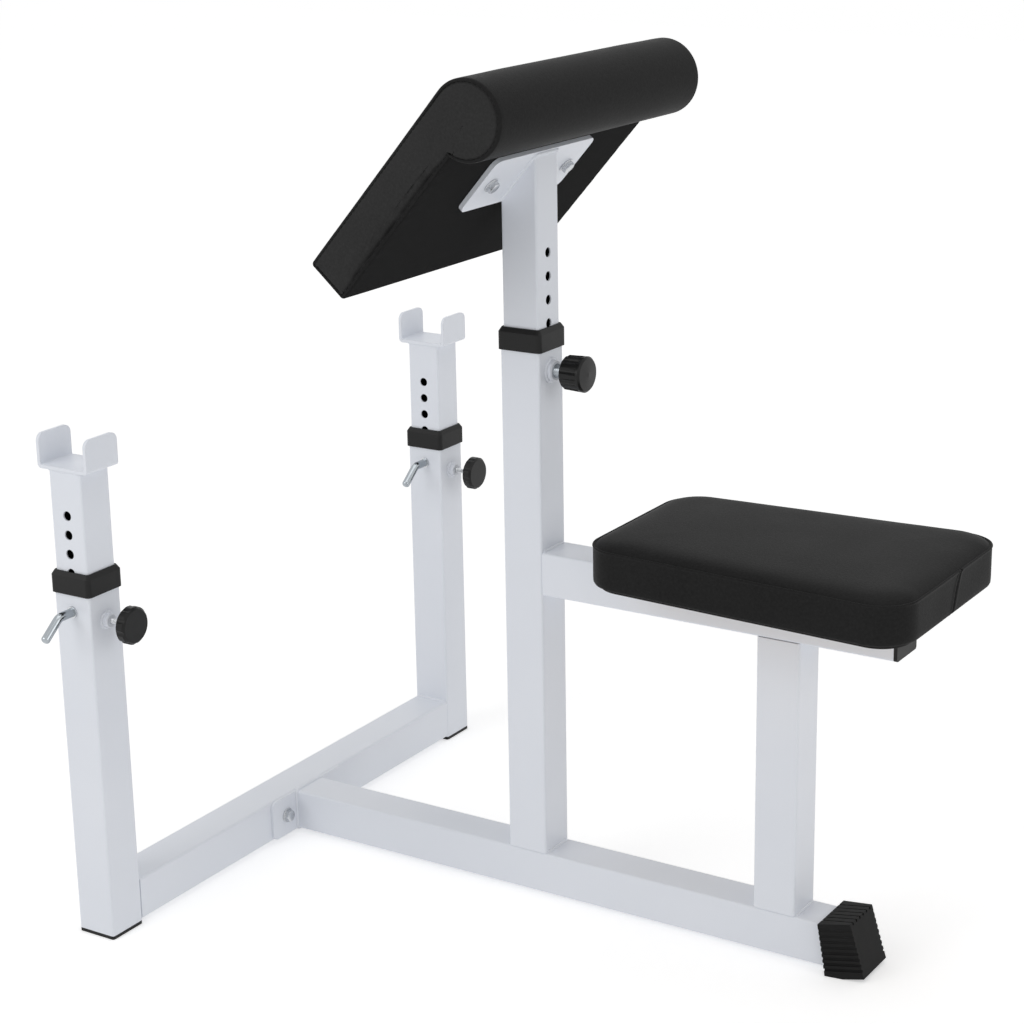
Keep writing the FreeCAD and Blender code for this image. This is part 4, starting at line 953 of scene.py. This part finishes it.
board_wood, shader, spot = new_finish("board_wood")
turned = spot.add("ShaderNodeMapping", (), {"Vector": spot, "Scale": (1.0, 14.0, 1.0)})
fibre = mottle(turned, 22.0, 6.0)
place = spot.add("ShaderNodeSeparateXYZ", (), {"Vector": spot})
plies_a_metre = 416.0
plies = spot.reckon("FRACT", place.out("Z") * plies_a_metre) < 0.5
colour = shade_between(fibre, (0.40, 0.27, 0.15), (0.62, 0.46, 0.29))
feed(shader, {
    "Base Color": blended(plies * 0.35, colour, (0.55, 0.45, 0.36, 1.0), "MULTIPLY"),
    "Roughness": 0.62 + 0.2 * fibre,
    "Normal": relief(fibre, 0.0003, 0.4),
})
dress(board_wood, "seat_board", "pad_board")

cushion_low, cushion_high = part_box("seat_cushion")
seat_middle = (cushion_low + cushion_high) / 2
half_length = (cushion_high.x - cushion_low.x) / 2 - 0.0004
front_half, rear_half = 0.1151, 0.1331
mean_half = (front_half + rear_half) / 2
seat_corner = 0.041
seam_z = cushion_low.z + 0.0452
side_steps, end_steps, arc_count = 110, 64, 20
rear_side = 1
fine_start, fine_step, fine_count, fine_clear = -0.0090, 0.0006, 46, 0.006
sides = []
for side in range(4):
    count = side_steps if side % 2 == 0 else end_steps
    shares = [i / count for i in range(count)]
    if side == rear_side:
        rear_run = 2 * (rear_half - seat_corner)
        fine = [0.5 + (fine_start + fine_step * i) / rear_run for i in range(fine_count)]
        coarse = [share for share in shares if share < fine[0] - fine_clear or share > fine[-1] + fine_clear]
        shares = sorted(coarse + fine)
    sides += [("side", side, share) for share in shares]
    sides += [("arc", side, i / arc_count) for i in range(arc_count)]


def seat_ring(inset, ease=0.6):
    """The seat's plan drawn in by an inset, with the way out at each point, from the near side by the rear"""
    drawn = min(inset, 0.05)
    left = (mean_half - inset) / (mean_half - drawn)
    corner = max(0.0, min(seat_corner - ease * inset, (front_half - drawn) * left))
    in_x = half_length - inset - corner
    front_y, rear_y = (front_half - drawn) * left - corner, (rear_half - drawn) * left - corner
    flare = math.atan2(rear_y - front_y, 2 * in_x)
    turns = (-math.pi / 2 - flare, 0.0, math.pi / 2 + flare, math.pi, 1.5 * math.pi - flare)
    corners = ((in_x, -rear_y), (in_x, rear_y), (-in_x, front_y), (-in_x, -front_y))
    centres = [Vector(place) for place in corners]
    ring = []
    for kind, side, share in sides:
        turn = turns[side]
        centre = centres[side - 1].lerp(centres[side], share)
        if kind == "arc":
            turn += (turns[side + 1] - turn) * share
            centre = centres[side]
        out = Vector((math.cos(turn), math.sin(turn)))
        ring.append((centre + corner * out, out))
    return ring


# How far each point of the plan is from the corners: 0 in a corner, 1 along a side
corner_share = 0.3
along_side = [eased(min(share, 1.0 - share) / corner_share) if kind == "side" else 0.0
              for kind, side, share in sides]
slit_y, slit_z, slit_lean, slit_width = 0.0128, 0.0397, 0.466, 0.0011
lip_share, lip_off, lip_width = 0.3, 0.0035, 0.002


def seat_level(inset, height, draw=0.0, slit=0.0, ease=0.6):
    """A ring of the seat; draw pulls it in along the sides, and slit sinks the rear band's slanted seam"""
    ring = []
    slit_here = slit_y + slit_lean * (height - cushion_low.z - slit_z)
    for (point, out), middle, (kind, side, share) in zip(seat_ring(inset, ease), along_side, sides):
        point = point - out * draw * middle
        if kind == "side" and side == rear_side:
            off = abs(point.y - slit_here)
            lips = lip_share * math.exp(-(((off - lip_off) / lip_width) ** 2))
            point = point - out * slit * (math.exp(-((off / slit_width) ** 2)) - lips)
        ring.append(Vector((seat_middle.x + point.x, seat_middle.y + point.y, height)))
    return ring


top_insets = (0.0026, 0.0033, 0.0041, 0.0051, 0.0063, 0.0077, 0.0093, 0.0112, 0.0134, 0.0159, 0.0188, 0.022,
              0.026, 0.031, 0.037, 0.044, 0.052, 0.061, 0.070, 0.079, 0.088, 0.097, 0.106, 0.115, mean_half)
top_drop, top_rise, rise_reach = 0.0022, 0.0072, 0.0070
top_dome, dome_reach = 0.0012, 0.09


def seat_top(inset):
    """A ring of the top panel, which rises from the seam and is domed a little towards the middle"""
    rise = top_rise * (1.0 - math.exp(-(inset - top_insets[0]) / rise_reach))
    height = seam_z - top_drop + rise + top_dome * eased(inset / dome_reach)
    return [Vector((seat_middle.x + point.x, seat_middle.y + point.y, height))
            for point, out in seat_ring(inset)]


seat_bottom = cushion_low.z
seat_board_low, seat_board_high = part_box("seat_board")
recess_roof, lip_z = seat_board_high.z + 0.0006, seat_board_low.z + 0.0003
recess_rows = (
    (mean_half, recess_roof), (0.050, recess_roof), (0.0125, recess_roof), (0.0102, recess_roof - 0.0004),
    (0.0102, lip_z + 0.0003), (0.0097, lip_z), (0.0086, lip_z), (0.0080, lip_z + 0.0005),
    (0.0078, seat_bottom - 0.0006), (0.0066, seat_bottom))
band_rows = (
    (0.0035, 0.0002, 0.0, 0.0), (0.0012, 0.0014, 0.0, 0.0008),
    (0.0002, 0.0036, 0.0002, 0.0018), (0.0, 0.0080, 0.0006, 0.0024), (0.0, 0.0130, 0.0010, 0.0024),
    (0.0, 0.0185, 0.0013, 0.0024), (0.0, 0.0240, 0.0014, 0.0024), (0.0, 0.0295, 0.0012, 0.0024),
    (0.0, 0.0345, 0.0008, 0.0024), (0.0, 0.0380, 0.0006, 0.0024), (0.0, 0.0402, 0.0004, 0.0024))
welt_rows = (
    (-0.0001, -0.0040, 0.0024), (-0.0004, -0.0034, 0.0024), (-0.0006, -0.0028, 0.0024),
    (-0.0006, -0.0022, 0.0024), (-0.0003, -0.0016, 0.0020), (0.0003, -0.0013, 0.0014),
    (0.0010, -0.0015, 0.0008), (0.0018, -0.0026, 0.0))
seat_rings = [seat_level(inset, height, ease=1.0) for inset, height in recess_rows]
seat_rings += [seat_level(inset, seat_bottom + height, draw, slit) for inset, height, draw, slit in band_rows]
seat_rings += [seat_level(inset, seam_z + height, 0.0, slit) for inset, height, slit in welt_rows]
seat_seam_row = len(seat_rings) - 1
seat_rings += [seat_top(inset) for inset in top_insets]
upholstered_seat = skinned("upholstered_seat", seat_rings, math.pi)
tacked_height, seat_swell = 0.010, 0.0012
swell(upholstered_seat, lambda place: place.z < seat_bottom + tacked_height, seat_swell)
upholstered_seat.data.materials.append(vinyl)
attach(upholstered_seat, "frame")
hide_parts("seat_cushion")
seat_seam = row_places(upholstered_seat, seat_seam_row)
stitched("seat_stitches", "frame", [seat_seam + [seat_seam[0]]])


# Studio: a white floor that runs into a white surround, with large soft lamps. The camera stands where
# the photograph was taken from, and the floor is a little greyer round the bench's feet.

scene = bpy.context.scene
scene.view_settings.view_transform = "Standard"


def seen_share(start):
    """1 where the camera sees the surround, straight or by reflection, and 0 where it only gives light"""
    path = start.add("ShaderNodeLightPath")
    seen = path.out("Is Camera Ray") + path.out("Is Glossy Ray") + path.out("Is Transmission Ray")
    return seen.reckon("MINIMUM", seen, 1.0)


world = bpy.data.worlds.new("surround")
scene.world = world
world.use_nodes = True
surround_light, surround_seen = 0.50, 1.0
seen = seen_share(Signal(world.node_tree))
feed(world.node_tree.nodes["Background"], {
    "Color": (1.0, 1.0, 1.0, 1.0),
    "Strength": surround_light + seen * (surround_seen - surround_light),
})

floor_mesh = bpy.data.meshes.new("floor")
floor_half, floor_gap = 9.0, 0.0004
floor_corners = [(x * floor_half, y * floor_half, 0.0) for x, y in ((-1, -1), (1, -1), (1, 1), (-1, 1))]
floor_mesh.from_pydata(floor_corners, [], [(0, 1, 2, 3)])
floor = bpy.data.objects.new("floor", floor_mesh)
bpy.context.collection.objects.link(floor)
floor.location.z = -floor_gap
floor_white, shader, spot = new_finish("floor_white")
grey_radius, fade_width = 0.9, 2.4
distance = spot.add("ShaderNodeVectorMath", {"operation": "LENGTH"}, {0: spot}, "Value")
away = distance.reckon("MAXIMUM", (distance - grey_radius) / fade_width, 0.0)
away = away.reckon("MINIMUM", away, 1.0)
floor_light, floor_seen = 0.28, 0.58
feed(shader, {
    "Base Color": (0.84, 0.84, 0.84, 1.0),
    "Roughness": 0.9,
    "Specular IOR Level": 0.0,
    "Emission Color": shade_between(away, (0.755, 0.755, 0.755), (1.0, 1.0, 1.0)),
    "Emission Strength": floor_light + seen_share(spot) * (floor_seen - floor_light),
})
floor_mesh.materials.append(floor_white)


def lamp(name, place, aim, size, power):
    """A square soft box at a place, turned to what it lights"""
    light = bpy.data.lights.new(name, "AREA")
    light.size = size
    light.energy = power
    box = bpy.data.objects.new(name, light)
    box.location = place
    box.rotation_mode = "QUATERNION"
    box.rotation_quaternion = (Vector(aim) - Vector(place)).to_track_quat("-Z", "Y")
    bpy.context.collection.objects.link(box)


lamp("key", (-1.5, -2.9, 2.3), (0.0, 0.0, 0.45), size=2.2, power=28.0)
lamp("top", (0.2, 0.2, 3.4), (0.0, 0.0, 0.4), size=2.6, power=17.0)
lamp("side", (3.2, -0.2, 1.5), (0.0, 0.0, 0.5), size=1.8, power=13.0)

camera_place = Vector((1.30281, -2.15843, 1.23887))
azimuth, elevation, roll = math.radians(32.614), math.radians(17.048), math.radians(-1.015)
ahead = Vector((-math.sin(azimuth) * math.cos(elevation), math.cos(azimuth) * math.cos(elevation),
                -math.sin(elevation)))
level = Vector((math.cos(azimuth), math.sin(azimuth), 0.0))
upright = level.cross(ahead)
right = level * math.cos(roll) + upright * math.sin(roll)
up = upright * math.cos(roll) - level * math.sin(roll)
view = bpy.data.cameras.new("camera")
view.lens = 83.74
view.sensor_width = 36.0
camera = bpy.data.objects.new("camera", view)
bpy.context.collection.objects.link(camera)
turn = Matrix((right, up, -ahead)).transposed().to_4x4()
camera.matrix_world = Matrix.Translation(camera_place) @ turn
scene.camera = camera
